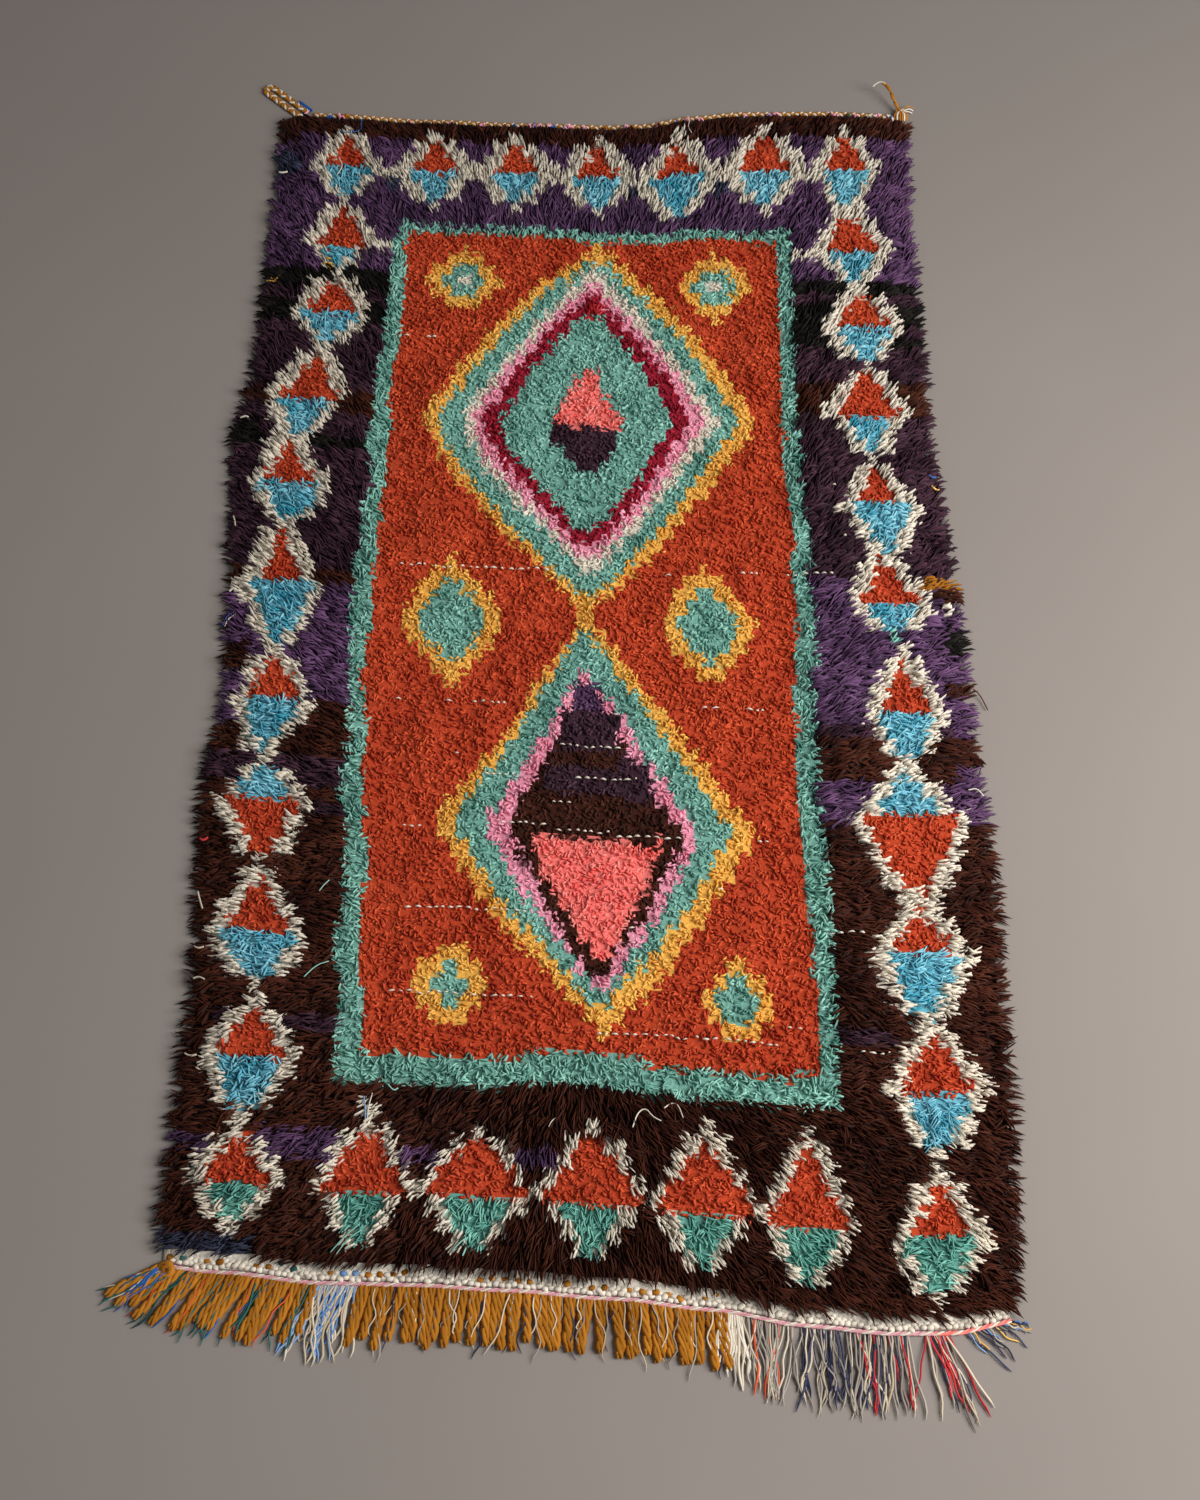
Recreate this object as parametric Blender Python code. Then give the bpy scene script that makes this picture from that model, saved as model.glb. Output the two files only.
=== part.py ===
"""A knotted-pile rag rug with a fringe at one end, lying flat on a floor.

Metres, +Z up. The underside lies on z = 0, the fringe points to -Y, and the origin is under the middle
of the whole outline. "Place" below is a distance from that middle line, along X or along Y.
"""
import math

import bpy
import bmesh
from mathutils import Vector, noise

# Cloth with its pile
COLUMNS = 34
ROWS = 62
WOVEN_ROWS = (0, 1)
WOVEN_DEPTH = 0.022
PILE_RISE = 0.012
WOVEN_HEIGHT = 0.0045
RIM_HEIGHT = 0.013
RIM_FALL = 0.055
FIELD_HEIGHT = 0.015
BORDER_HEIGHT = 0.025
BORDER_WIDTH = 0.215
BORDER_FADE = 0.05
LUMP_HEIGHT = 0.008
LUMP_SPACING = 0.070
GAP = 0.0003

# Outline of the cloth without its locks
# Columns: place along the rug, reach of the left edge
LEFT_EDGE = (
    (-1.000, -0.568), (-0.800, -0.566), (-0.600, -0.558), (-0.450, -0.566), (-0.280, -0.574),
    (-0.130, -0.554), (0.000, -0.563), (0.200, -0.575), (0.350, -0.587), (0.500, -0.563),
    (0.800, -0.558), (1.100, -0.560),
)
# Columns: place along the rug, reach of the right edge
RIGHT_EDGE = (
    (-1.070, 0.584), (-0.900, 0.600), (-0.750, 0.609), (-0.450, 0.615), (-0.150, 0.605),
    (0.000, 0.606), (0.100, 0.598), (0.350, 0.583), (0.800, 0.588), (1.100, 0.600),
)
# Columns: place across the rug, reach of the fringed end
LOWER_END = (
    (-0.585, -0.992), (-0.490, -1.002), (-0.350, -1.016), (-0.220, -1.019), (-0.100, -1.026),
    (0.050, -1.037), (0.180, -1.051), (0.310, -1.072), (0.420, -1.082), (0.500, -1.082), (0.600, -1.064),
)
# Columns: place across the rug, reach of the braided end
UPPER_END = (
    (-0.575, 1.102), (-0.534, 1.115), (-0.464, 1.108), (-0.294, 1.094), (-0.104, 1.085),
    (0.056, 1.079), (0.120, 1.083), (0.193, 1.101), (0.300, 1.113), (0.464, 1.114), (0.620, 1.105),
)

# Locks of pile along the two side edges
LOCK_LENGTH = 0.022
LOCK_LENGTH_SPREAD = 0.022
LOCK_LEAN = math.radians(14)
LOCK_LEAN_SPREAD = math.radians(24)
LOCK_LENGTH_SPACING = 0.023
LOCK_LEAN_SPACING = 0.041
LOCK_WIDTHS = (0.022, 0.009)
LOCK_HEIGHTS = (0.011, 0.004)

# Twined cord and the warp ends that it holds
STRANDS = 112
STRAND_GAP_SHARE = 0.25
CORD_WIDTH = 0.009
CORD_HEIGHT = 0.006
CORD_RIDGE = 0.0008
STRAND_WIDTHS = (0.0068, 0.0058, 0.0024)
STRAND_HEIGHTS = (0.0055, 0.0048, 0.0020)
STRAND_SWAY = math.radians(5)
STRAND_SWAY_SPACING = 0.06
# Columns: place across the rug, how far the strands turn to the left in degrees, strand length
FAN = (
    (-0.585, 58, 0.085), (-0.500, 37, 0.092), (-0.420, 24, 0.095), (-0.330, 15, 0.088),
    (-0.200, 6, 0.082), (0.000, 0, 0.074), (0.190, -1, 0.078), (0.230, 2, 0.104), (0.360, 0, 0.108),
    (0.450, -2, 0.103), (0.500, -14, 0.115), (0.540, -24, 0.085), (0.565, -50, 0.042), (0.595, -60, 0.035),
)

# Chained braid at the upper end
BRAID_COLUMNS = 4 * COLUMNS
BRAID_START = 0.0432
BRAID_STOP = 0.984
BRAID_WIDTH = 0.0085
BRAID_HEIGHT = 0.0065
BRAID_RIDGE = 0.0012

# Hairpin of braided band at the upper left corner
LOOP_BASE_COLUMN = 1
LOOP_TIP = Vector((-0.609, 1.190))
LOOP_BAND = 0.0140
LOOP_SLIT = 0.0030
LOOP_HEIGHT = 0.0065
LOOP_RIDGE = 0.0010
LEG_COLUMNS = 10
BEND_COLUMNS = 8

# Knot of warp ends at the upper right corner, with one long free end that stands up and one short one
TIE_PLACE = 0.597
TIE_HEIGHT = 0.0075
TIE_RADII = Vector((0.0130, 0.0105, 0.0095))
TIE_SEGMENTS = 12
TIE_RINGS = 8
# Columns: place across, place along, height, half width of the end, each from the knot's centre
LONG_END = (
    (-0.007, 0.012, 0.007, 0.0032), (-0.013, 0.023, 0.015, 0.0036), (-0.019, 0.034, 0.022, 0.0030),
    (-0.025, 0.044, 0.026, 0.0020), (-0.034, 0.050, 0.027, 0.0008),
)
SHORT_END = ((0.014, 0.008, 0.000, 0.0022), (0.024, 0.013, -0.002, 0.0008))

# Colour of each piece, as sRGB from 0 to 1, and its roughness
FINISHES = {
    "rug": ((0.56, 0.17, 0.09), 0.95),
    "fringe": ((0.69, 0.45, 0.14), 0.9),
    "head_braid": ((0.74, 0.62, 0.42), 0.9),
    "corner_loop": ((0.72, 0.50, 0.20), 0.9),
    "corner_tie": ((0.80, 0.52, 0.16), 0.9),
}


def eased(share):
    """A share from 0 to 1, eased in and out."""
    share = min(max(share, 0.0), 1.0)
    return share * share * (3 - 2 * share)


def read(table, place, column=1):
    """Smooth value of a table's column at a place in its first column."""
    last = len(table) - 2
    row = next((k for k in range(last) if place <= table[k + 1][0]), last)
    low, high = table[row], table[row + 1]
    share = eased((place - low[0]) / (high[0] - low[0]))
    return low[column] + (high[column] - low[column]) * share


def mix(low, high, share):
    return low + (high - low) * share


def wander(*place):
    """A smooth value from -1 to 1 that depends only on the place."""
    return noise.noise(Vector((place + (0.0, 0.0, 0.0))[:3]))


def cloth_point(across, along):
    """Plan point of the cloth. Across runs from the left edge to the right, along from the lower end up."""
    left = read(LEFT_EDGE, mix(LOWER_END[0][1], UPPER_END[0][1], along))
    right = read(RIGHT_EDGE, mix(LOWER_END[-1][1], UPPER_END[-1][1], along))
    low = read(LOWER_END, mix(LEFT_EDGE[0][1], RIGHT_EDGE[0][1], across))
    high = read(UPPER_END, mix(LEFT_EDGE[-1][1], RIGHT_EDGE[-1][1], across))
    return Vector((mix(left, right, across), mix(low, high, along)))


def end_point(across, along):
    """Plan point on the lower or upper end, on the straight run between two grid columns."""
    place = min(max(across, 0.0), 1.0) * COLUMNS
    column = min(int(place), COLUMNS - 1)
    start = cloth_point(column / COLUMNS, along)
    stop = cloth_point((column + 1) / COLUMNS, along)
    return start.lerp(stop, place - column)


def row_share(row):
    """How far up the cloth a grid row lies. The first rows hold the woven end and the rise of the pile."""
    length = UPPER_END[0][1] - LOWER_END[0][1]
    if row in WOVEN_ROWS:
        return row * WOVEN_DEPTH / length
    start = (WOVEN_DEPTH + PILE_RISE) / length
    first = len(WOVEN_ROWS)
    return start + (1 - start) * (row - first) / (ROWS - first)


def pile_height(point, across, along):
    """Height of the pile, lower in the field than in the border, lumpy and rounded down to the rim."""
    width = RIGHT_EDGE[0][1] - LEFT_EDGE[0][1]
    length = UPPER_END[0][1] - LOWER_END[0][1]
    from_side = min(across, 1 - across) * width
    from_end = min(along, 1 - along) * length
    in_field = eased((min(from_side, from_end) - BORDER_WIDTH) / BORDER_FADE)
    height = mix(BORDER_HEIGHT, FIELD_HEIGHT, in_field)
    height += LUMP_HEIGHT * wander(point.x / LUMP_SPACING, point.y / LUMP_SPACING)
    return mix(RIM_HEIGHT, height, eased(min(from_side, from_end) / RIM_FALL))


def slab(columns, rows, top_point):
    """A closed slab on z = 0 whose top is a grid. top_point gives a grid point's place in 3-D."""
    mesh = bmesh.new()
    mesh.faces.layers.int.new("lock")
    bmesh.ops.create_grid(mesh, x_segments=columns, y_segments=rows, size=1.0)
    floor_faces = mesh.faces[:]
    raised = bmesh.ops.extrude_face_region(mesh, geom=floor_faces)["geom"]
    raised = {item for item in raised if isinstance(item, bmesh.types.BMVert)}
    for vertex in mesh.verts:
        column = round((vertex.co.x + 1) / 2 * columns)
        row = round((vertex.co.y + 1) / 2 * rows)
        top = top_point(column, row)
        vertex.co = top if vertex in raised else (top[0], top[1], 0.0)
    bmesh.ops.dissolve_faces(mesh, faces=floor_faces)
    bmesh.ops.recalc_face_normals(mesh, faces=mesh.faces[:])
    mesh.normal_update()
    return mesh


def walls(mesh, facing):
    """The upright faces of a slab that look towards a plan direction."""
    return [
        face for face in mesh.faces
        if len(face.verts) == 4
        and sum(vertex.co.z == 0.0 for vertex in face.verts) == 2
        and face.normal.dot(facing) > 0.5
    ]


def grow(mesh, roots, shapes):
    """Extrude a lock from each root face. A shape is (heading, sway, length, widths, heights)."""
    tag = mesh.faces.layers.int["lock"]
    floor_centres = []
    for number, face in enumerate(roots):
        face[tag] = number
        low = [vertex.co for vertex in face.verts if vertex.co.z == 0.0]
        floor_centres.append((low[0] + low[1]) / 2)
    steps = len(shapes[0][3])
    tips = roots
    for step in range(steps):
        tips = bmesh.ops.extrude_discrete_faces(mesh, faces=tips)["faces"]
        for face in tips:
            heading, sway, length, widths, heights = shapes[face[tag]]
            turn = heading + sway * math.sin(math.pi * (step + 0.5) / steps)
            ahead = Vector((math.cos(turn), math.sin(turn), 0.0))
            centre = floor_centres[face[tag]]
            aside = Vector((-ahead.y, ahead.x, 0.0))
            middle = sum((vertex.co for vertex in face.verts), Vector()) / 4
            reached = centre + ahead * (length / steps)
            for vertex in face.verts:
                side = 0.5 if (vertex.co - middle).dot(aside) > 0 else -0.5
                top = 0.0 if vertex.co.z == 0.0 else heights[step]
                vertex.co = reached + aside * (side * widths[step]) + Vector((0.0, 0.0, top))
            floor_centres[face[tag]] = reached


def finish(name, mesh):
    """Turn a bmesh into an object with its own material."""
    bmesh.ops.recalc_face_normals(mesh, faces=mesh.faces[:])
    data = bpy.data.meshes.new(name)
    mesh.to_mesh(data)
    mesh.free()
    piece = bpy.data.objects.new(name, data)
    collection.objects.link(piece)
    colour, roughness = FINISHES[name]
    material = bpy.data.materials.new(name)
    material.use_nodes = True
    shader = material.node_tree.nodes["Principled BSDF"]
    shader.inputs["Base Color"].default_value = (*(channel ** 2.2 for channel in colour), 1.0)
    shader.inputs["Roughness"].default_value = roughness
    shader.inputs["Metallic"].default_value = 0.0
    data.materials.append(material)
    return piece


def make_rug():
    """Cloth, pile and woven end: one slab with locks along both side edges."""
    def top_point(column, row):
        across = column / COLUMNS
        along = row_share(row)
        point = cloth_point(across, along)
        height = WOVEN_HEIGHT if row in WOVEN_ROWS else pile_height(point, across, along)
        return (point.x, point.y, height)

    mesh = slab(COLUMNS, ROWS, top_point)
    roots, shapes = [], []
    for side in (-1, 1):
        for face in walls(mesh, Vector((side, 0, 0))):
            if any(0.0 < vertex.co.z < RIM_HEIGHT / 2 for vertex in face.verts):
                continue
            place = face.calc_center_median().y
            out = 0.0 if side > 0 else math.pi
            lean = LOCK_LEAN + LOCK_LEAN_SPREAD * wander(place / LOCK_LEAN_SPACING, side)
            length = LOCK_LENGTH + LOCK_LENGTH_SPREAD * wander(place / LOCK_LENGTH_SPACING, side, 3.0)
            roots.append(face)
            shapes.append((out - lean, 0.0, length, LOCK_WIDTHS, LOCK_HEIGHTS))
    grow(mesh, roots, shapes)
    finish("rug", mesh)


def make_fringe():
    """Twined cord along the lower end, and the strands that grow from it."""
    def top_point(column, row):
        across = (column // 2 + (STRAND_GAP_SHARE if column % 2 else 0.0)) / STRANDS
        point = end_point(across, 0.0)
        reach = GAP + CORD_WIDTH * (1 - row)
        ridge = CORD_RIDGE if column % 4 < 2 else -CORD_RIDGE
        return (point.x, point.y - reach, CORD_HEIGHT + ridge)

    mesh = slab(2 * STRANDS, 1, top_point)
    pitch = (RIGHT_EDGE[0][1] - LEFT_EDGE[0][1]) / STRANDS
    roots, shapes = [], []
    for face in walls(mesh, Vector((0, -1, 0))):
        reach = [vertex.co.x for vertex in face.verts]
        if max(reach) - min(reach) < pitch / 2:
            continue
        place = face.calc_center_median().x
        down = -math.pi / 2 - math.radians(read(FAN, place, 1))
        sway = STRAND_SWAY * wander(place / STRAND_SWAY_SPACING, 7.0)
        roots.append(face)
        shapes.append((down, sway, read(FAN, place, 2), STRAND_WIDTHS, STRAND_HEIGHTS))
    grow(mesh, roots, shapes)
    finish("fringe", mesh)


def make_head_braid():
    """Chained braid sewn along the upper end."""
    def top_point(column, row):
        point = end_point(mix(BRAID_START, BRAID_STOP, column / BRAID_COLUMNS), 1.0)
        ridge = BRAID_RIDGE if column % 2 else -BRAID_RIDGE
        reach = GAP + (BRAID_WIDTH + ridge) * row
        return (point.x, point.y + reach, BRAID_HEIGHT + ridge / 2)

    finish("head_braid", slab(BRAID_COLUMNS, 1, top_point))


def upper_end_at(place):
    """Plan point on the upper end at a place across the rug."""
    left, right = cloth_point(0.0, 1.0).x, cloth_point(1.0, 1.0).x
    return end_point((place - left) / (right - left), 1.0)


def make_corner_loop():
    """Flat braided band, bent to a hairpin with a narrow slit, both ends on the upper end of the cloth."""
    base = cloth_point(LOOP_BASE_COLUMN / COLUMNS, 1.0)
    axis = (LOOP_TIP - base).normalized()
    aside = Vector((-axis.y, axis.x))
    outer = LOOP_SLIT / 2 + LOOP_BAND
    leg_length = (LOOP_TIP - base).length - outer
    columns = 2 * LEG_COLUMNS + BEND_COLUMNS

    def top_point(column, row):
        ridge = LOOP_RIDGE if column % 2 else -LOOP_RIDGE
        radius = outer + ridge / 2 if row else LOOP_SLIT / 2
        height = LOOP_HEIGHT + ridge
        from_end = min(column, columns - column)
        side = -1 if column < columns / 2 else 1
        if from_end == 0:
            point = upper_end_at(base.x - side * radius) + Vector((0.0, GAP))
        elif from_end < LEG_COLUMNS:
            section = Vector((-1.0, 0.0)).lerp(aside, eased(2 * from_end / LEG_COLUMNS))
            point = base + axis * (leg_length * from_end / LEG_COLUMNS) + section * (side * radius)
        else:
            turn = math.pi * ((column - LEG_COLUMNS) / BEND_COLUMNS - 0.5)
            point = base + axis * (leg_length + radius * math.cos(turn)) + aside * (radius * math.sin(turn))
        return (point.x, point.y, height)

    finish("corner_loop", slab(columns, 1, top_point))


def grow_end(mesh, centre, route):
    """Pull a free end out of the face of a knot that looks along the route's first run."""
    first = Vector(route[0][:3]).normalized()
    tip = max(mesh.faces, key=lambda face: face.normal.dot(first) * len(face.verts))
    for across, along, height, half_width in route:
        tip = bmesh.ops.extrude_discrete_faces(mesh, faces=[tip])["faces"][0]
        middle = tip.calc_center_median()
        for vertex in tip.verts:
            spoke = (vertex.co - middle).normalized()
            vertex.co = centre + Vector((across, along, height)) + spoke * half_width


def make_corner_tie():
    """Knot of warp ends on the floor at the cloth's corner, flat underneath, with its free ends."""
    edge = upper_end_at(TIE_PLACE)
    centre = Vector((TIE_PLACE, edge.y + GAP + TIE_RADII.y, TIE_HEIGHT))
    mesh = bmesh.new()
    bmesh.ops.create_uvsphere(mesh, u_segments=TIE_SEGMENTS, v_segments=TIE_RINGS, radius=1.0)
    for vertex in mesh.verts:
        vertex.co = centre + Vector(unit * radius for unit, radius in zip(vertex.co, TIE_RADII))
        vertex.co.z = max(vertex.co.z, 0.0)
    mesh.normal_update()
    grow_end(mesh, centre, LONG_END)
    grow_end(mesh, centre, SHORT_END)
    finish("corner_tie", mesh)


def clear_scene():
    for item in list(bpy.data.objects):
        bpy.data.objects.remove(item, do_unlink=True)


clear_scene()
collection = bpy.data.collections.new("boucherouite_rug")
bpy.context.scene.collection.children.link(collection)
make_rug()
make_fringe()
make_head_braid()
make_corner_loop()
make_corner_tie()
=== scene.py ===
"""Looks of a shaggy knotted rag rug that lies flat on a floor, with a braid at one end and a fringe at
the other.

Metres, +Z up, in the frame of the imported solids. The pattern is counted in knots across the rug from its
left edge, and in rows along it from the braided end down to the fringe.
"""
import math
from collections import namedtuple

import bmesh
import bpy
import numpy as np
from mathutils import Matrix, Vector, noise


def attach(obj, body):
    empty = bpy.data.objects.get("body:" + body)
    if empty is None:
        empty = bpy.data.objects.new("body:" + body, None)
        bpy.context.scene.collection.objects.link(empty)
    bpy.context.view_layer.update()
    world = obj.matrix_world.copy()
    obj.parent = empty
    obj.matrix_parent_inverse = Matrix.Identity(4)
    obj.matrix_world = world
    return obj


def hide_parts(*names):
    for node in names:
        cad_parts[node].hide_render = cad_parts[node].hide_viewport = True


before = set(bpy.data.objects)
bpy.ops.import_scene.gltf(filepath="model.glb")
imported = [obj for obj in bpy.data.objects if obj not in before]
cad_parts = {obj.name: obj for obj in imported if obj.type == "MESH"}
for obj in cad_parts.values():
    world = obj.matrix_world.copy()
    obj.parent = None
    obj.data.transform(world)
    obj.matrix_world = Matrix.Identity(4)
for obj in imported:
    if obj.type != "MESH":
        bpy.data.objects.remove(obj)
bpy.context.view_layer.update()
RANDOM = np.random.default_rng(19)

# Outline of the cloth without its locks, as the solids have it
COLUMNS = 34
# Columns: place along the rug, reach of the left edge
LEFT_EDGE = (
    (-1.000, -0.568), (-0.800, -0.566), (-0.600, -0.558), (-0.450, -0.566), (-0.280, -0.574),
    (-0.130, -0.554), (0.000, -0.563), (0.200, -0.575), (0.350, -0.587), (0.500, -0.563),
    (0.800, -0.558), (1.100, -0.560),
)
# Columns: place along the rug, reach of the right edge
RIGHT_EDGE = (
    (-1.070, 0.584), (-0.900, 0.600), (-0.750, 0.609), (-0.450, 0.615), (-0.150, 0.605),
    (0.000, 0.606), (0.100, 0.598), (0.350, 0.583), (0.800, 0.588), (1.100, 0.600),
)
# Columns: place across the rug, reach of the fringed end
LOWER_END = (
    (-0.585, -0.992), (-0.490, -1.002), (-0.350, -1.016), (-0.220, -1.019), (-0.100, -1.026),
    (0.050, -1.037), (0.180, -1.051), (0.310, -1.072), (0.420, -1.082), (0.500, -1.082), (0.600, -1.064),
)
# Columns: place across the rug, reach of the braided end
UPPER_END = (
    (-0.575, 1.102), (-0.534, 1.115), (-0.464, 1.108), (-0.294, 1.094), (-0.104, 1.085),
    (0.056, 1.079), (0.120, 1.083), (0.193, 1.101), (0.300, 1.113), (0.464, 1.114), (0.620, 1.105),
)
RUG_WIDTH = RIGHT_EDGE[0][1] - LEFT_EDGE[0][1]
RUG_LENGTH = UPPER_END[0][1] - LOWER_END[0][1]

# Heights of the pile, as the solids have them, and how far the strands cover its matted foot
RIM_HEIGHT = 0.013
RIM_FALL = 0.055
FIELD_HEIGHT = 0.015
BORDER_HEIGHT = 0.025
BORDER_WIDTH = 0.215
BORDER_FADE = 0.05
LUMP_HEIGHT = 0.008
LUMP_SPACING = 0.070
FIELD_COVER = 0.0045
BORDER_COVER = 0.0085
WOVEN_DEPTH = 0.022
WOVEN_FOOT = 0.0030
LEAST_FOOT = 0.0035
LEAST_HEIGHT = 0.0002

# The chart's count of knots across and rows along, and their spacing
KNOTS = 124
ROWS = 87
KNOT_PITCH = RUG_WIDTH / KNOTS
ROW_PITCH = (RUG_LENGTH - WOVEN_DEPTH) / ROWS

# The camera stands in front of the fringed end and looks down
CAMERA_PLACE = (0.030, -1.400, 2.465)
CAMERA_TILT = math.radians(25.7)
LENS = 42.0
SENSOR_HEIGHT = 36.0


def eased(share):
    """A share from 0 to 1, eased in and out."""
    share = min(max(share, 0.0), 1.0)
    return share * share * (3 - 2 * share)


def mix(low, high, share):
    """Value between low and high at a share from 0 to 1."""
    return low + (high - low) * share


def read(table, place, column=1):
    """Smooth value of a table's column at a place in its first column."""
    last = len(table) - 2
    row = next((k for k in range(last) if place <= table[k + 1][0]), last)
    low, high = table[row], table[row + 1]
    return mix(low[column], high[column], eased((place - low[0]) / (high[0] - low[0])))


def span(table, place):
    """First and last value of a table's span at a place."""
    return read(table, place, 1), read(table, place, 2)


def wander(*place):
    """A smooth value from -1 to 1 that depends only on the place."""
    return noise.noise(Vector((place + (0.0, 0.0, 0.0))[:3]))


def cloth_point(across, along):
    """Plan point of the cloth. Across runs from the left edge to the right, along from the lower end up."""
    left = read(LEFT_EDGE, mix(LOWER_END[0][1], UPPER_END[0][1], along))
    right = read(RIGHT_EDGE, mix(LOWER_END[-1][1], UPPER_END[-1][1], along))
    low = read(LOWER_END, mix(LEFT_EDGE[0][1], RIGHT_EDGE[0][1], across))
    high = read(UPPER_END, mix(LEFT_EDGE[-1][1], RIGHT_EDGE[-1][1], across))
    return Vector((mix(left, right, across), mix(low, high, along)))


def end_point(across, along):
    """Plan point on the lower or upper end, on the straight run between two columns of the solid's grid."""
    place = min(max(across, 0.0), 1.0) * COLUMNS
    column = min(int(place), COLUMNS - 1)
    start = cloth_point(column / COLUMNS, along)
    stop = cloth_point((column + 1) / COLUMNS, along)
    return start.lerp(stop, place - column)


# Dyes of the pile: the colour deep in a tuft and the colour of its lit tips
Dye = namedtuple("Dye", "deep light")
DYES = {
    "rust": Dye("#A8301A", "#E2623A"),
    "teal": Dye("#528C7E", "#A8DECF"),
    "green": Dye("#4A9084", "#98D8C8"),
    "blue": Dye("#3CA2BA", "#A2DEEC"),
    "ivory": Dye("#D6CCBB", "#F1E8D8"),
    "yellow": Dye("#EAA440", "#FFD26C"),
    "coral": Dye("#FA6660", "#FFA298"),
    "crimson": Dye("#7E1626", "#BE2A42"),
    "pink": Dye("#EC8CA6", "#FFBCD0"),
    "aubergine": Dye("#29161F", "#573A49"),
    "purple": Dye("#3D2842", "#7C5880"),
    "brown": Dye("#260E0A", "#5A3022"),
    "black": Dye("#0F0D0C", "#26221E"),
    "navy": Dye("#202231", "#50546E"),
    "mustard": Dye("#7C4A0E", "#C4822C"),
    "pale_pink": Dye("#CC8E96", "#EAB4BA"),
    "cream": Dye("#B8A88F", "#E2D6C0"),
    # White yarn drawn in painted shade, as a yarn of its own
    "grey": Dye("#7A7068", "#B4ABA0"),
    "sky": Dye("#4F7FBE", "#8FB4DC"),
    "cobalt": Dye("#1D3F7C", "#3F74BE"),
    "pine": Dye("#173A3D", "#3F7570"),
    "red": Dye("#A82028", "#E0484C"),
    "slate": Dye("#24263A", "#4A4D68"),
}

# Lozenges of the border. Rows are those of the top, of the join between the two dyes and of the foot,
# and the two widths are half the width of each dye at the join, in knots
Lozenge = namedtuple("Lozenge", "middle top join foot upper_half lower_half")
LEFT_LOZENGES = (
    Lozenge(12.9, 1.9, 4.8, 8.2, 4.0, 4.8), Lozenge(13.0, 9.0, 12.9, 15.0, 4.9, 3.5),
    Lozenge(12.4, 15.9, 19.0, 21.9, 4.6, 6.3), Lozenge(10.5, 23.3, 27.5, 30.5, 5.8, 4.2),
    Lozenge(9.4, 30.7, 34.5, 37.6, 4.9, 5.5), Lozenge(8.0, 38.6, 42.8, 47.0, 4.1, 5.1),
    Lozenge(7.3, 47.9, 51.4, 55.0, 4.6, 5.2), Lozenge(8.9, 64.0, 67.2, 70.9, 4.4, 6.4),
    Lozenge(9.3, 72.2, 75.8, 78.9, 5.7, 4.8),
)
RIGHT_LOZENGES = (
    Lozenge(112.2, 2.0, 5.2, 8.8, 4.0, 5.0), Lozenge(113.0, 9.5, 13.4, 16.1, 5.7, 4.6),
    Lozenge(113.9, 16.9, 19.7, 23.4, 4.6, 5.8), Lozenge(114.0, 24.1, 27.9, 31.0, 5.8, 3.8),
    Lozenge(114.1, 32.0, 35.0, 38.5, 4.0, 5.2), Lozenge(113.3, 39.3, 42.5, 45.1, 4.6, 5.2),
    Lozenge(113.9, 47.2, 50.4, 54.1, 4.0, 5.2), Lozenge(112.5, 63.8, 66.6, 70.8, 5.0, 5.7),
    Lozenge(113.6, 71.7, 75.1, 78.7, 5.6, 4.9),
)
TOP_LOZENGES = (
    Lozenge(30.6, 1.8, 4.7, 8.3, 4.6, 5.1), Lozenge(46.7, 1.8, 4.6, 8.1, 4.5, 5.4),
    Lozenge(62.8, 1.9, 5.0, 8.5, 4.1, 5.0), Lozenge(78.8, 2.4, 5.4, 9.3, 4.6, 5.5),
    Lozenge(96.0, 1.7, 5.2, 9.1, 4.7, 5.5),
)
TURNED_LOZENGES = (
    Lozenge(9.0, 56.1, 58.6, 62.9, 4.5, 5.6), Lozenge(112.6, 54.9, 57.9, 63.2, 5.7, 7.2),
)
CORNER_LOZENGES = (
    Lozenge(9.3, 80.0, 82.8, 85.3, 4.9, 4.5), Lozenge(113.3, 80.1, 83.3, 86.3, 4.6, 5.0),
)
FOOT_LOZENGES = (
    Lozenge(28.4, 79.0, 82.9, 85.7, 6.2, 4.3), Lozenge(45.2, 79.3, 83.1, 85.8, 7.7, 5.3),
    Lozenge(62.3, 78.9, 83.0, 85.8, 7.2, 4.5), Lozenge(79.0, 78.9, 83.0, 85.9, 7.4, 4.5),
    Lozenge(94.2, 78.6, 83.0, 85.9, 5.6, 4.5),
)
# Widths of the ivory outside a lozenge's dyes, in knots: at its top, above and below its join, and at its
# foot. The last value is the rows of the ivory tip under it.
SIDE_EDGING = (2.7, 2.5, 2.4, 2.5, 1.05)
TOP_EDGING = (2.9, 3.5, 4.0, 2.6, 1.05)
FOOT_EDGING = (2.6, 1.1, 2.7, 1.5, 0.40)
# Share of the half width that a dye starts with at the lozenge's tip, and what it grows by up to the join
UPPER_SHARES = (0.10, 0.98)
LOWER_SHARES = (0.18, 0.90)
# Half width of a lozenge's ivory tips, in knots, and the rows of the tip above it
TIP_HALF = 1.15
TIP_ROWS = 1.05
LOZENGE_SETS = (
    (LEFT_LOZENGES + RIGHT_LOZENGES, "rust", "blue", SIDE_EDGING),
    (TOP_LOZENGES, "rust", "blue", TOP_EDGING),
    (TURNED_LOZENGES, "blue", "rust", SIDE_EDGING),
    (CORNER_LOZENGES, "rust", "green", SIDE_EDGING),
    (FOOT_LOZENGES, "rust", "green", FOOT_EDGING),
)
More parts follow.
